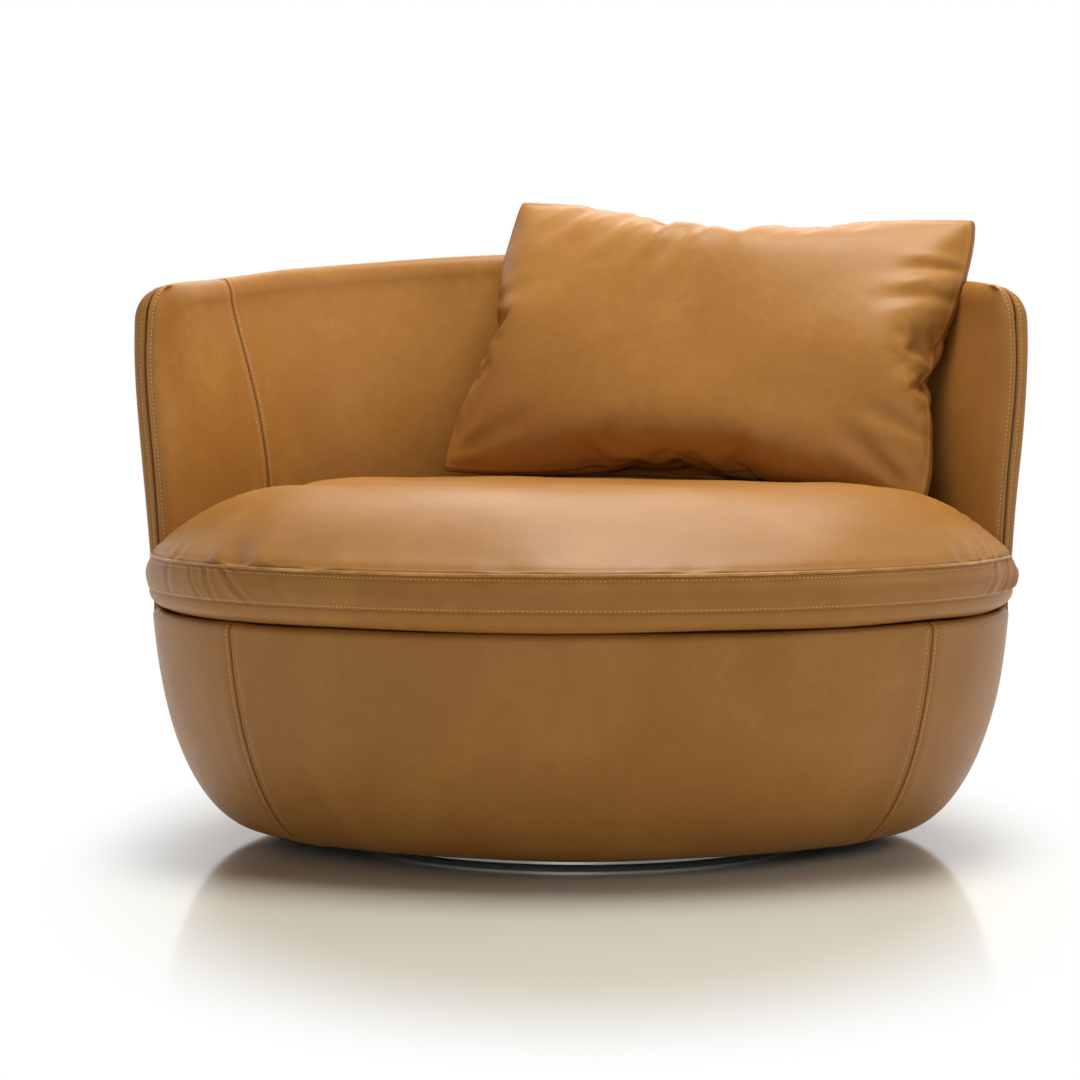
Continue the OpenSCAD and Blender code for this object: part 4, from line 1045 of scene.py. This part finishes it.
class Seat:
    """The cushion's outline and profile."""

    # How far the seams are drawn in, the gap to the walls, and how proud it is in front
    draw_in, gap, proud = 0.006, 0.0012, 0.002
    # Each ear: inset and radius of its corner, gap to the arm, sag, and turns that sag
    ear_in, ear_r, ear_gap, hang, hang_at, hang_over = 0.010, 0.018, 0.003, 0.011, 88, 8
    # Room for the zip behind, the turn where it starts and the turns that it takes to open
    zip_room, room_from, room_over = 0.0078, 110, 25
    # The roll: its power, and what it loses at the sides in front and where
    roll_power, side_loss, side_from, side_over = 1.8, 0.05, 0.2, 0.22
    # Rise of the leather right beside the welt, and how fast it comes
    turn_in, turn_in_over = 0.003, 0.004
    # How far in front of the ears the walls' shorter roll begins and how long it takes, and how
    # far the ear's sag reaches over the top
    wall_ahead, wall_over, hang_reach = 0.05, 0.3, 0.05
    # The lower seam's share of draw_in, the roll under it and its bulge
    low_share, low_roll, low_bulge = 0.4, 0.03, 0.0015
    # Bulge of the band, and what the sag adds to it
    band_bulge, band_hang = 0.005, 0.4
    # The most turn that has folds, the ridge beside each and its place in half widths
    folds_to, ridge, ridge_at = 81, 0.7, 1.7
    # The welt cord: how far it stands out of its seam, and its radius
    cord_out, cord_r = 0.0014, 0.0019
    # The stitches: their inset, and their distance under the welt and over the lower seam
    stitch_in, stitch_under, stitch_over = 0.003, 0.0055, 0.0035
    step = 0.0034  # between the outline's points
    middle = np.array([0.0, -0.0777])

    def __init__(self, size, tub):
        """size: a SeatSettings."""
        self.size, self.tub = size, tub
        self.seam_z = size.underside + size.seam_rise
        self.welt_z = self.seam_z + size.band
        self.ear_y = -(
            tub.size.side_radius * math.cos(math.radians(tub.size.arm_turn))
            + tub.size.nose_reach + self.ear_gap
        )
        self.outline = self.make_outline()

    def make_outline(self):
        """The tub's front arc a little proud, a rounded ear in front of each arm, and inside
        the walls an arc at their inset, evenly resampled and softened."""
        tub = self.tub
        ear_low = self.ear_y - self.ear_r
        ear_x = (
            math.sqrt((tub.size.side_radius - self.ear_in) ** 2 - ear_low**2)
            + tub.side_c - self.ear_r
        )
        t = np.linspace(0, 84, 200)  # turns of the front arc
        inset = -self.proud + (self.ear_in + self.proud) * np.sin(np.radians(t)) ** 2
        front = np.stack(tub.plan(t, inset), -1)
        a = np.radians(np.linspace(92, 180, 30))
        ear = np.stack([ear_x + self.ear_r * np.sin(a), ear_low - self.ear_r * np.cos(a)], -1)
        # The arm's face beside the cushion, at a third of the wall's height
        face = tub.arm_face(np.linspace(0.36, 1, 60), 0.3)[:, :2]
        t = tangents(face, False)
        face = face + np.stack([-t[:, 1], t[:, 0]], -1) * self.gap
        step = np.array([[face[0, 0] + 0.002, self.ear_y]])
        t = np.linspace(tub.blend_turn, 180, 240)[1:]
        room = self.zip_room * smooth((t - self.room_from) / self.room_over)
        back = np.stack(tub.plan(t, tub.thick(t) + self.gap + room), -1)
        back = np.concatenate([step, face, back])
        right = np.concatenate([front[front[:, 1] < ear_low - 0.002], ear, back])
        line = np.concatenate([right, right[-2:0:-1] * MIRROR[:2]])
        return soften(resample(line, self.step, True), 0.005, self.step)

    def droop(self, x, y):
        """The right ear hangs lower: a Gaussian of the turn round the ear."""
        turn = self.tub.turn_of(x, y)
        return np.where(x > 0, -self.hang * bell(turn - self.hang_at, self.hang_over), 0)

    def loop(self, inset, z):
        """The outline moved inwards along its normals, at a height."""
        t = tangents(self.outline, True)
        p = self.outline + np.stack([-t[:, 1], t[:, 0]], -1) * inset
        share = np.clip((z - self.seam_z) / self.size.band, 0, 1)
        z = z + share * self.droop(p[:, 0], p[:, 1])
        return np.concatenate([p, z[:, None]], 1)

    def crown(self, p, d):
        """Height at plan places p, d metres from the outline: crown (1 - (1 - d/roll)^power),
        where the roll is long in front and short at the walls, plus the ear's sag and a rise
        right beside the welt, which fade and come exponentially with d."""
        size = self.size
        behind = smooth((p[..., 1] - self.ear_y + self.wall_ahead) / self.wall_over)
        aside = smooth((np.abs(p[..., 0]) - self.side_from) / self.side_over)
        front = size.front_roll - self.side_loss * aside
        roll = front + (size.wall_roll - front) * behind
        rise = size.crown * (1 - (1 - np.clip(d / roll, 0, 1)) ** self.roll_power)
        droop = self.droop(p[..., 0], p[..., 1]) * np.exp(-d / self.hang_reach)
        turned = self.turn_in * (1 - np.exp(-d / self.turn_in_over))
        return self.welt_z + rise + droop + turned

    def top(self):
        """Loops from the welt to the middle."""
        rim = self.loop(self.draw_in, self.welt_z)
        share = np.concatenate([[0], dense(0, 1, 60, "low", 0.9)[1:-1]])[:, None, None]
        plan = rim[None, :, :2] + (self.middle - rim[None, :, :2]) * share
        d = distance_to(plan.reshape(-1, 2), [rim[::3, :2]]).reshape(plan.shape[:2])
        z = self.crown(plan, d)
        z[0] = rim[:, 2]
        return np.concatenate([plan, z[..., None]], -1)

    def band(self):
        """Loops of the border band: between its seams it bulges by half a sine, and more at the
        right ear."""
        bulge = self.band_bulge - self.band_hang * self.droop(*self.outline.T)
        rows = []
        for t in dense(0, 1, 34, "both", 0.6):
            inset = self.draw_in * (self.low_share + (1 - self.low_share) * t)
            inset = inset - bulge * math.sin(math.pi * t)
            rows.append(self.loop(inset[:, None], self.seam_z + t * self.size.band))
        return np.stack(rows)

    def bottom(self):
        """Loops from the lower seam round to the flat underside and its middle. In front the
        cushion sags on to the tub's edge."""
        low = self.tub.size.front_height + self.gap
        rows = []
        for t in np.radians(np.linspace(0, 90, 20)):
            inset = self.low_roll * (1 - math.cos(t)) - self.low_bulge * math.sin(2 * t)
            row = self.loop(self.low_share * self.draw_in + inset, self.seam_z)
            ahead = 1 - smooth((row[:, 1] - self.ear_y + 0.03) / 0.06)
            under = self.size.underside + (low - self.size.underside) * ahead
            row[:, 2] = self.seam_z + (under - self.seam_z) * math.sin(t)
            rows.append(row)
        rows = np.stack(rows)
        share = dense(0, 1, 26, "low", 0.9)[1:-1, None, None]
        flat = rows[-1:] + (np.append(self.middle, self.size.underside) - rows[-1:]) * share
        run = np.linalg.norm(flat[..., :2] - rows[-1, :, :2], axis=-1)
        under = self.size.underside
        flat[..., 2] = under + (rows[-1, :, 2] - under) * (1 - smooth(run / 0.03))
        return np.concatenate([rows, flat])

    def creases(self, co, distance, folds, by_height):
        """Folds that cross a seam: each a Gaussian valley beside a lower ridge, along a line of
        constant turn that slants with the distance from the seam, and fading with it."""
        turn = self.tub.turn_of(co[:, 0], co[:, 1]) * np.sign(co[:, 0])
        along = (co[:, 2] - self.seam_z) if by_height else distance
        relief = np.zeros(len(co))
        for at, slope, reach, depth, width in folds:
            u = np.radians(turn - at - slope * along) * self.tub.size.side_radius / width
            shape = bell(u, 1) - self.ridge * bell(np.abs(u) - self.ridge_at, 1)
            fade = 1.0 if by_height else bell(distance, reach)
            relief -= depth * shape * fade
        inside = 1 - smooth((np.abs(turn) - self.folds_to) / 6)
        return relief * smooth(distance / 0.006) * inside


def with_pole(loops, middle):
    """Closed loops as one grid with the pole's row."""
    return np.concatenate([loops, np.broadcast_to(middle, (1,) + loops.shape[1:])])


class ARMCHAIR_OT_seat_cushion(Operator):
    """The round seat cushion: top, border band, underside, welt and stitches"""

    bl_idname = "armchair.seat_cushion"
    bl_label = "Seat cushion"

    # Each fold: turn, slant in degrees a metre, reach from the welt, depth and half width.
    # On the band a fold runs from seam to seam and has no reach
    top_folds = (
        (51, 60, 0.05, 0.0018, 0.011), (59, 90, 0.06, 0.0032, 0.008),
        (65, 110, 0.06, 0.0052, 0.007), (70, 140, 0.055, 0.0056, 0.006),
        (75, 160, 0.05, 0.0052, 0.0055), (80, 170, 0.04, 0.0044, 0.005),
        (-42, -40, 0.045, 0.0066, 0.017), (-30, -20, 0.03, 0.0018, 0.012),
        (-60, -60, 0.03, 0.0018, 0.010), (-78, -90, 0.03, 0.0024, 0.008),
        (12, 20, 0.03, 0.0010, 0.014), (-8, 0, 0.03, 0.0009, 0.016),
    )
    band_folds = (
        (58, 120, 0, 0.0016, 0.007), (65, 150, 0, 0.0032, 0.006), (71, 180, 0, 0.0042, 0.0055),
        (78, 210, 0, 0.0042, 0.005), (84, 160, 0, 0.0028, 0.005), (-33, -70, 0, 0.0008, 0.006),
        (-39, -130, 0, 0.0020, 0.0045), (-45, -90, 0, 0.0016, 0.005),
        (-49, -120, 0, 0.0010, 0.004), (-60, -60, 0, 0.0008, 0.008),
        (-80, -80, 0, 0.0010, 0.007), (20, 60, 0, 0.0008, 0.012), (-12, 40, 0, 0.0007, 0.012),
    )

    def execute(self, context):
        seat = Seat(context.scene.armchair_seat, Tub(context.scene.armchair_tub))
        pitch = context.scene.armchair_leather.pitch
        material = leather("seat")
        middle = np.append(seat.middle, seat.welt_z + seat.size.crown + seat.turn_in)
        under = np.append(seat.middle, seat.size.underside)
        welt = seat.loop(seat.draw_in, seat.welt_z)
        lower = seat.loop(seat.low_share * seat.draw_in, seat.seam_z)
        parts = {
            "seat_top_leather": (
                with_pole(seat.top(), middle), self.top_folds, ["seat_top_cover", "seat_topper"]),
            "seat_band_leather": (seat.band(), self.band_folds, ["seat_band", "seat_core"]),
            "seat_bottom_leather": (
                with_pole(seat.bottom(), under)[:, ::-1], (), ["seat_bottom_cover"]),
        }
        pieces = []
        for number, (name, (grid, folds, replaced)) in enumerate(parts.items()):
            mesh = patch_mesh(name, [grid], wrap=True)
            co = coords(mesh)
            d = distance_to(co, [np.vstack([c, c[:1]])[::2] for c in (welt, lower)])
            # The seams are flatter than the tub's, the lower one most
            share = 0.12 + 0.23 * smooth((co[:, 2] - seat.seam_z - 0.01) / 0.02)
            uneven = 0.0014 * waves(co, 0.22, 41 + number) * smooth(d / 0.05)
            relief = share * seam_relief(d) + uneven
            relief += seat.creases(co, d, folds, name == "seat_band_leather")
            co += normals(mesh) * relief[:, None]
            if name == "seat_top_leather":
                co = pressed_under(co, bpy.data.objects["pillow_leather"])
            set_coords(mesh, co)
            # The seam number paints shade into the grooves, weaker where the seams are flatter
            mark_seams(mesh, d, 2.2 * share, 0.2, 0.0011)
            obj = add_object(name, mesh, material)
            settle(obj, "seat_cushion", replaced)
            pieces.append(obj)
        line = seat.loop(seat.draw_in - seat.cord_out, seat.welt_z)
        cord = tube(line, seat.cord_r)[:, ::-1]
        settle(add_object("seat_welt_cord", patch_mesh("seat_welt_cord", [cord], wrap=True),
                          leather("welt")), "seat_cushion", ["seat_welt"])
        tree = surface_tree(pieces)
        rows = [
            stitch_row(tree, seat.loop(seat.stitch_in, z), 0, pitch, True)
            for z in (seat.welt_z - seat.stitch_under, seat.seam_z + seat.stitch_over)
        ]
        stitches("seat_stitches", rows, "seat_cushion")
        return {"FINISHED"}


def pressed_under(co, pillow, front=-0.2, low=0.2, gap=0.001):
    """Lowers the points behind front that lie inside a pillow to a gap under its surface, which
    a ray from low upwards finds."""
    tree = surface_tree([pillow])
    for i in np.where(co[:, 1] > front)[0]:
        hit = tree.ray_cast(Vector((co[i, 0], co[i, 1], low)), Vector((0, 0, 1)))[0]
        if hit is not None:
            co[i, 2] = min(co[i, 2], hit.z - gap)
    return co


class Pillow:
    """The pillow's blank and its place."""

    cols, rows, step = 109, 67, 0.006  # the grid of each panel and about its step
    # The blank's bow of its sides and ends, the cut at its corners, and how far it sinks in
    bow_sides, bow_ends, cut, sunk = 0.03, 0.045, 0.015, 0.013
    # Blur of the puckers, its share, and the columns or rows over which it comes in
    blur, blur_share, blur_over = 0.014, 0.7, 8
    # The left end: how far it is pulled out, and by how much its corners differ from that
    pull, skew = 0.003, 0.013
    # The ridge beside a fold: its share of the depth, and its place in half widths
    ridge, ridge_at = 0.55, 1.7
    # Each fold: ends in shares of the half width and half height, depth and half width
    folds = (
        (-0.62, 0.93, -0.78, 0.66, 0.0030, 0.012), (-0.40, 0.90, -0.56, 0.58, 0.0034, 0.012),
        (-0.20, 0.90, -0.34, 0.52, 0.0036, 0.011), (-0.04, 0.88, -0.22, 0.42, 0.0030, 0.012),
        (0.14, 0.88, 0.02, 0.62, 0.0016, 0.012), (0.98, 0.42, 0.72, 0.30, 0.0030, 0.010),
        (0.97, 0.62, 0.78, 0.55, 0.0042, 0.009), (0.98, -0.10, 0.82, -0.16, 0.0016, 0.010),
        (0.95, -0.55, 0.74, -0.44, 0.0020, 0.010), (0.90, -0.86, 0.66, -0.60, 0.0026, 0.012),
        (-0.90, -0.86, -0.66, -0.66, 0.0022, 0.012), (-0.30, -0.94, -0.26, -0.70, 0.0018, 0.012),
        (0.30, -0.95, 0.26, -0.74, 0.0018, 0.012), (-0.95, 0.20, -0.76, 0.24, 0.0016, 0.012),
    )

    def __init__(self, size):
        """size: a PillowSettings."""
        self.size = size
        low, high = (np.array(v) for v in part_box("pillow_fill"))
        self.centre = (low + high) / 2 - np.array([0, 0, self.sunk])

    def evened(self, p):
        """Both panels with the puckers of the simulation blurred, less towards their edges."""
        p = p.copy()
        count = self.rows * self.cols
        row, col = np.mgrid[0:self.rows, 0:self.cols]
        inside = np.minimum.reduce([row, self.rows - 1 - row, col, self.cols - 1 - col])
        share = self.blur_share * smooth(inside / self.blur_over)
        for part in (slice(0, count), slice(count, 2 * count)):
            depth = p[part, 1].reshape(self.rows, self.cols)
            even = depth
            for _ in range(2):
                even = soften(even, self.blur, self.step, False).T
            p[part, 1] = (depth + share * (even - depth)).ravel()
        return p

    def shares(self, p):
        """Places in shares of the half width and the half height."""
        return p[:, 0] / self.size.width * 2, p[:, 2] / self.size.height * 2

    def skewed(self, p):
        """The left end leans: its lower corner is pulled out and its upper one pushed in."""
        u, v = self.shares(p)
        p = p.copy()
        p[:, 0] += np.clip(-u, 0, 1) ** 2 * (self.pull + self.skew * v)
        return p

    def fold_relief(self, p):
        """Soft folds in the filled panels: a Gaussian valley along each fold's line, which widens
        from 0.7 to 1.3 of its width and fades at both ends, with a lower ridge beside it."""
        relief = np.zeros(len(p))
        scale = np.array([self.size.width, self.size.height]) / 2
        place = np.stack(self.shares(p), -1) * scale
        for x0, z0, x1, z1, depth, width in self.folds:
            a, b = np.array([x0, z0]) * scale, np.array([x1, z1]) * scale
            along = (place - a) @ (b - a) / ((b - a) ** 2).sum()
            off = place - a - along[:, None] * (b - a)
            side = (off @ np.array([a[1] - b[1], b[0] - a[0]])) / np.linalg.norm(b - a)
            fade = smooth((along + 0.25) / 0.4) * smooth((1.3 - along) / 0.7)
            w = width * (0.7 + 0.6 * np.clip(along, 0, 1))
            beside = bell(np.abs(side) - self.ridge_at * w, w)
            relief -= depth * fade * (bell(side, w) - self.ridge * beside)
        return relief

    def blank(self, width, height):
        """Two flat grids joined by a strip round their edges, bowed out so that the swollen
        sides come out nearly straight, and cut at the corners. Gives points and quads, and the
        numbers of the front and back edge loops."""
        cols, rows = self.cols, self.rows
        s, t = np.meshgrid(np.linspace(-1, 1, cols), np.linspace(-1, 1, rows))
        wide = s * (1 + self.bow_sides * (1 - t**2)) * (1 - self.cut * (s * t) ** 8)
        tall = t * (1 + self.bow_ends * (1 - s**2)) * (1 - self.cut * (s * t) ** 8)
        flat = np.stack([wide * width / 2, 0 * s, tall * height / 2], -1).reshape(-1, 3)
        gap = np.array([0, self.size.border / 2, 0])
        number = np.arange(rows * cols).reshape(rows, cols)
        loop = np.concatenate([
            number[0, :-1], number[:-1, -1], number[-1, :0:-1], number[:0:-1, 0]
        ])
        points = np.concatenate([flat - gap, flat + gap, flat[loop]])
        front = grid_quads(rows, cols)
        count = rows * cols
        ring = 2 * count + np.arange(len(loop))
        after, ring_after = np.roll(loop, -1), np.roll(ring, -1)
        strip = np.concatenate([
            np.stack([loop, ring, ring_after, after], -1),
            np.stack([ring, loop + count, after + count, ring_after], -1),
        ])
        quads = np.concatenate([front, front[:, ::-1] + count, strip])
        return points, quads, loop, loop + count

    def place(self, p):
        """Tilt, lean and turn of the pillow, then its centre."""
        size = self.size
        turn = (
            Matrix.Rotation(-math.radians(size.turn), 3, "Z")
            @ Matrix.Rotation(-math.radians(size.lean), 3, "X")
            @ Matrix.Rotation(math.radians(size.tilt), 3, "Y")
        )
        return p @ np.array(turn).T + self.centre


def inflate(obj, pressure, frames, stiffness, bending):
    """Lets a closed cloth swell by air pressure with no gravity, and keeps the result."""
    cloth = obj.modifiers.new("Swell", "CLOTH")
    s = cloth.settings
    s.quality, s.mass, s.air_damping = 6, 0.25, 1.0
    s.tension_stiffness = s.compression_stiffness = stiffness
    s.shear_stiffness, s.bending_stiffness = stiffness / 2, bending
    s.tension_damping = s.compression_damping = 10
    s.use_pressure, s.uniform_pressure_force = True, pressure
    s.effector_weights.gravity = 0
    cloth.collision_settings.use_collision = False
    scene = bpy.context.scene
    cloth.point_cache.frame_start, cloth.point_cache.frame_end = 1, frames
    for number in range(1, frames + 1):
        scene.frame_set(number)
    apply_modifiers(obj)
    scene.frame_set(1)


class ARMCHAIR_OT_pillow(Operator):
    """The loose pillow: two leather panels with a border strip, swollen by its filling"""

    bl_idname = "armchair.pillow"
    bl_label = "Pillow"

    def execute(self, context):
        size = context.scene.armchair_pillow
        pillow = Pillow(size)
        # The blank is a little larger than the pillow, since swelling draws its edges in
        points, quads, *loops = pillow.blank(size.width * 1.02, size.height * 1.03)
        mesh = raw_mesh("pillow_leather", points, quads)
        obj = add_object("pillow_leather", mesh, leather("pillow"))
        inflate(obj, pressure=4.0, frames=20, stiffness=15, bending=3.0)
        points = pillow.evened(coords(obj.data))
        low, high = points.min(0), points.max(0)
        points -= (low + high) / 2
        points *= np.array([size.width, size.thickness, size.height]) / (high - low)
        folds = pillow.fold_relief(points)
        points = pillow.skewed(points)
        placed = pillow.place(points)
        edges = [resample(placed[loop], 0.003, True) for loop in loops]
        set_coords(obj.data, placed)
        # The folds are weaker behind
        front = np.where(points[:, 1] < 0, folds, 0.4 * folds)
        set_coords(obj.data, placed + normals(obj.data) * front[:, None])
        obj.modifiers.new("Round", "SUBSURF").levels = 1
        apply_modifiers(obj)
        co = coords(obj.data)
        distance = distance_to(co, edges)
        relief = 0.6 * seam_relief(distance) + 0.0008 * waves(co, 0.12, 51)
        set_coords(obj.data, co + normals(obj.data) * relief[:, None])
        # The seam number paints shade into the border's grooves
        mark_seams(obj.data, distance, 0.8)
        settle(obj, "pillow",
               ["pillow_fill", "pillow_front_cover", "pillow_back_cover", "pillow_border"])
        return {"FINISHED"}


class ARMCHAIR_OT_hidden_frame(Operator):
    """Finishes of the pieces that keep their CAD shape: boards, shells, bearing, disc"""

    bl_idname = "armchair.hidden_frame"
    bl_label = "Frame and swivel base"

    # Each finish: name, colour, roughness, what else it has, and its pieces
    finishes = (
        # Rotary-cut and sanded: pale, its figure 70 mm long and 8 mm wide, its plies 2.4 mm
        ("Birch plywood", "#C8A56E", 0.55,
         {"vary": 0.14, "scale": 14.0, "stretch": (1, 9, 30), "bump": 0.0003},
         ("base_board", "base_ribs", "deck_ring")),
        # Pressed in a mould: redder and smoother, its figure 80 mm long and 7 mm wide
        ("Moulded beech plywood", "#A57C4B", 0.5,
         {"vary": 0.16, "scale": 12.0, "stretch": (1, 1, 12), "bump": 0.0003},
         ("bowl_shell", "back_shell")),
        # Woven over rubber threads 1.4 mm apart: dark and dull, a little hairy
        ("Elastic webbing", "#3B3A36", 0.85, {"scale": 700.0, "bump": 0.0004, "sheen": 0.2},
         ("straps_lengthwise", "straps_crosswise")),
        # Matted and pressed: grey tufts of 3 mm with a soft sheen
        ("Pressed wool felt", "#8F8B80", 0.95, {"scale": 300.0, "bump": 0.0008, "sheen": 0.3},
         ("deck_pad",)),
        # Plain weave, drawn 1.3 mm apart, coarser than real, so that it shows
        ("Woven cotton lining", "#6B5233", 0.85, {"scale": 800.0, "bump": 0.0004, "sheen": 0.2},
         ("deck_cloth",)),
        # Bonded fibres in clumps of 2 mm: near black and dull
        ("Spun-bonded dust cloth", "#1D1C1B", 0.9, {"scale": 500.0, "bump": 0.0003, "sheen": 0.1},
         ("dust_cover",)),
        # Cut on a grinder: even and quite bright
        ("Ground bearing steel", "#8E9092", 0.28, {"metallic": 1.0, "scale": 300.0},
         ("lower_race", "upper_race", "spindle")),
        # Plated in a barrel: cloudy by 8 mm, a little duller than ground steel
        ("Zinc-plated steel", "#9A9C9E", 0.35, {"metallic": 1.0, "scale": 120.0},
         ("spindle_nut", "race_screws", "board_bolts", "tee_nuts")),
        # Sprayed and baked: black, with an orange peel of 1.7 mm
        ("Black powder coat", "#232425", 0.5, {"scale": 600.0, "bump": 0.0002},
         ("swivel_plate",)),
        # Pressed from sheet: yellow, with a clear gloss
        ("Stamped brass", "#B08D3C", 0.32, {"metallic": 1.0, "scale": 200.0},
         ("ball_cage", "zip_slider")),
        # Lapped: a near mirror
        ("Polished bearing steel", "#C9CBCC", 0.08,
         {"metallic": 1.0, "scale": 90.0, "vary": 0.04}, ("bearing_balls",)),
        # From a mould that was spark-eroded: black, matt, a grain of 4 mm
        ("Moulded rubber", "#26251F", 0.7, {"scale": 250.0, "bump": 0.0002}, ("floor_glides",)),
        # Ribbed weave of 1.1 mm: brown and dull
        ("Woven zip tape", "#4A3520", 0.85, {"scale": 900.0, "bump": 0.0003}, ("seat_zip",)),
        # Cut from a block: open cells, drawn as 2.5 mm, pale yellow and matt
        ("Polyurethane foam", "#E6D9A8", 0.95, {"scale": 400.0, "bump": 0.001},
         ("edge_pad", "back_foam")),
    )

    def execute(self, context):
        wear(brushed_steel(), ("floor_disc",))
        for name, colour, roughness, more, pieces in self.finishes:
            wear(plain_material(name, colour, roughness, **more), pieces)
        return {"FINISHED"}


def wear(material, pieces):
    """Gives CAD pieces a material."""
    for name in pieces:
        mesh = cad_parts[name].data
        mesh.materials.clear()
        mesh.materials.append(material)


class ARMCHAIR_OT_stage(Operator):
    """Pale floor, soft studio light and the camera"""

    bl_idname = "armchair.stage"
    bl_label = "Stage"

    def execute(self, context):
        scene = context.scene
        scene.view_settings.view_transform = "Standard"
        self.floor()
        self.surroundings(scene)
        # Each lamp: name, place, target, size and watts
        for lamp in (
            ("overhead", (0.2, -0.14, 2.4), (0, -0.1, 0.3), 1.1, 53),
            ("behind", (0.3, 2.1, 2.9), (0, 0, 0.4), 2.2, 44),
            ("right", (2.9, -0.9, 1.7), (0, 0, 0.4), 1.6, 15),
            ("front", (-0.5, -4.4, 0.8), (0, 0, 0.25), 2.0, 22),
        ):
            self.lamp(*lamp)
        # The camera's place and lens were fitted to the disc, the welt and the outline
        camera = bpy.data.cameras.new("camera")
        camera.lens, camera.sensor_width = 101.83, 36
        camera.shift_x = -0.038
        eye = bpy.data.objects.new("camera", camera)
        eye.location = (0, -3.85, 0.583)
        eye.rotation_euler = (math.radians(90 - 3.15), 0, 0)
        scene.collection.objects.link(eye)
        scene.camera = eye
        return {"FINISHED"}

    @staticmethod
    def floor():
        """White lacquer near the chair, which fades in an oval to plain white further out."""
        material, tree = new_material("White lacquered floor")
        place = add_node(tree, "TexCoord").outputs["Object"]
        oval = add_node(tree, "Mapping", Vector=place, Location=(0, 0.1, 0),
                        Scale=(1.9, 1, 1)).outputs[0]
        away = add_node(tree, "VectorMath", {"operation": "LENGTH"}, Vector=oval).outputs["Value"]
        fade = add_node(tree, "MapRange", {"interpolation_type": "SMOOTHSTEP"}, Value=away,
                        From_Min=0.8, From_Max=1.25).outputs[0]
        near = add_node(tree, "BsdfPrincipled", Base_Color=linear("#F3F3E9"), Roughness=0.1)
        far = add_node(tree, "Emission", Color=WHITE, Strength=1.0)
        shader = add_node(tree, "MixShader", Fac=fade, Shader=near.outputs[0],
                          Shader_001=far.outputs[0])
        add_node(tree, "OutputMaterial", Surface=shader.outputs[0])
        corners = np.array([(-1, -1, 0), (1, -1, 0), (1, 1, 0), (-1, 1, 0)]) * FLOOR_HALF
        mesh = raw_mesh("floor", corners, np.array([[0, 1, 2, 3]]))
        add_object("floor", mesh, material, False)

    @staticmethod
    def surroundings(scene):
        """A world that lights the chair weakly, and is white where it is seen directly, in a
        reflection or through something."""
        world = scene.world = bpy.data.worlds.new("Studio")
        world.use_nodes = True
        tree = world.node_tree
        tree.nodes.clear()
        path = add_node(tree, "LightPath").outputs
        seen = path["Is Camera Ray"]
        for kind in ("Is Glossy Ray", "Is Transmission Ray"):
            seen = add_node(tree, "Math", {"operation": "MAXIMUM"}, Value=seen,
                            Value_001=path[kind]).outputs[0]
        strength = add_node(tree, "MapRange", Value=seen, To_Min=0.08, To_Max=1.0).outputs[0]
        background = add_node(tree, "Background", Color=WHITE, Strength=strength)
        add_node(tree, "OutputWorld", Surface=background.outputs[0])

    @staticmethod
    def lamp(name, place, target, size, power):
        """A square soft box turned to its target."""
        light = bpy.data.lights.new(name, "AREA")
        light.shape, light.size, light.energy = "SQUARE", size, power
        light.color = (1.0, 0.985, 0.92)
        obj = bpy.data.objects.new(name, light)
        obj.location = place
        way = Vector(target) - Vector(place)
        obj.rotation_euler = way.to_track_quat("-Z", "Y").to_euler()
        bpy.context.scene.collection.objects.link(obj)


OPERATORS = (
    ARMCHAIR_OT_stage, ARMCHAIR_OT_outer_leather, ARMCHAIR_OT_inner_leather,
    ARMCHAIR_OT_base_leather, ARMCHAIR_OT_tub_seams, ARMCHAIR_OT_pillow,
    ARMCHAIR_OT_seat_cushion, ARMCHAIR_OT_hidden_frame,
)
SETTINGS = {
    "armchair_tub": TubSettings, "armchair_seat": SeatSettings,
    "armchair_pillow": PillowSettings, "armchair_leather": LeatherSettings,
}


class ARMCHAIR_PT_panel(Panel):
    """Lists the chair's pieces"""

    bl_idname = "ARMCHAIR_PT_panel"
    bl_label = "Armchair"
    bl_space_type = "VIEW_3D"
    bl_region_type = "UI"
    bl_category = "Armchair"

    def draw(self, context):
        for operator in OPERATORS:
            self.layout.operator(operator.bl_idname)
        for name, group in SETTINGS.items():
            for prop in group.__annotations__:
                self.layout.prop(getattr(context.scene, name), prop)


def register():
    for cls in (*SETTINGS.values(), *OPERATORS, ARMCHAIR_PT_panel):
        bpy.utils.register_class(cls)
    for name, group in SETTINGS.items():
        setattr(bpy.types.Scene, name, PointerProperty(type=group))


def unregister():
    for name in SETTINGS:
        delattr(bpy.types.Scene, name)
    for cls in (ARMCHAIR_PT_panel, *OPERATORS[::-1], *list(SETTINGS.values())[::-1]):
        bpy.utils.unregister_class(cls)


def main():
    register()
    for operator in OPERATORS:
        module, name = operator.bl_idname.split(".")
        getattr(getattr(bpy.ops, module), name)()


if __name__ == "__main__":
    main()
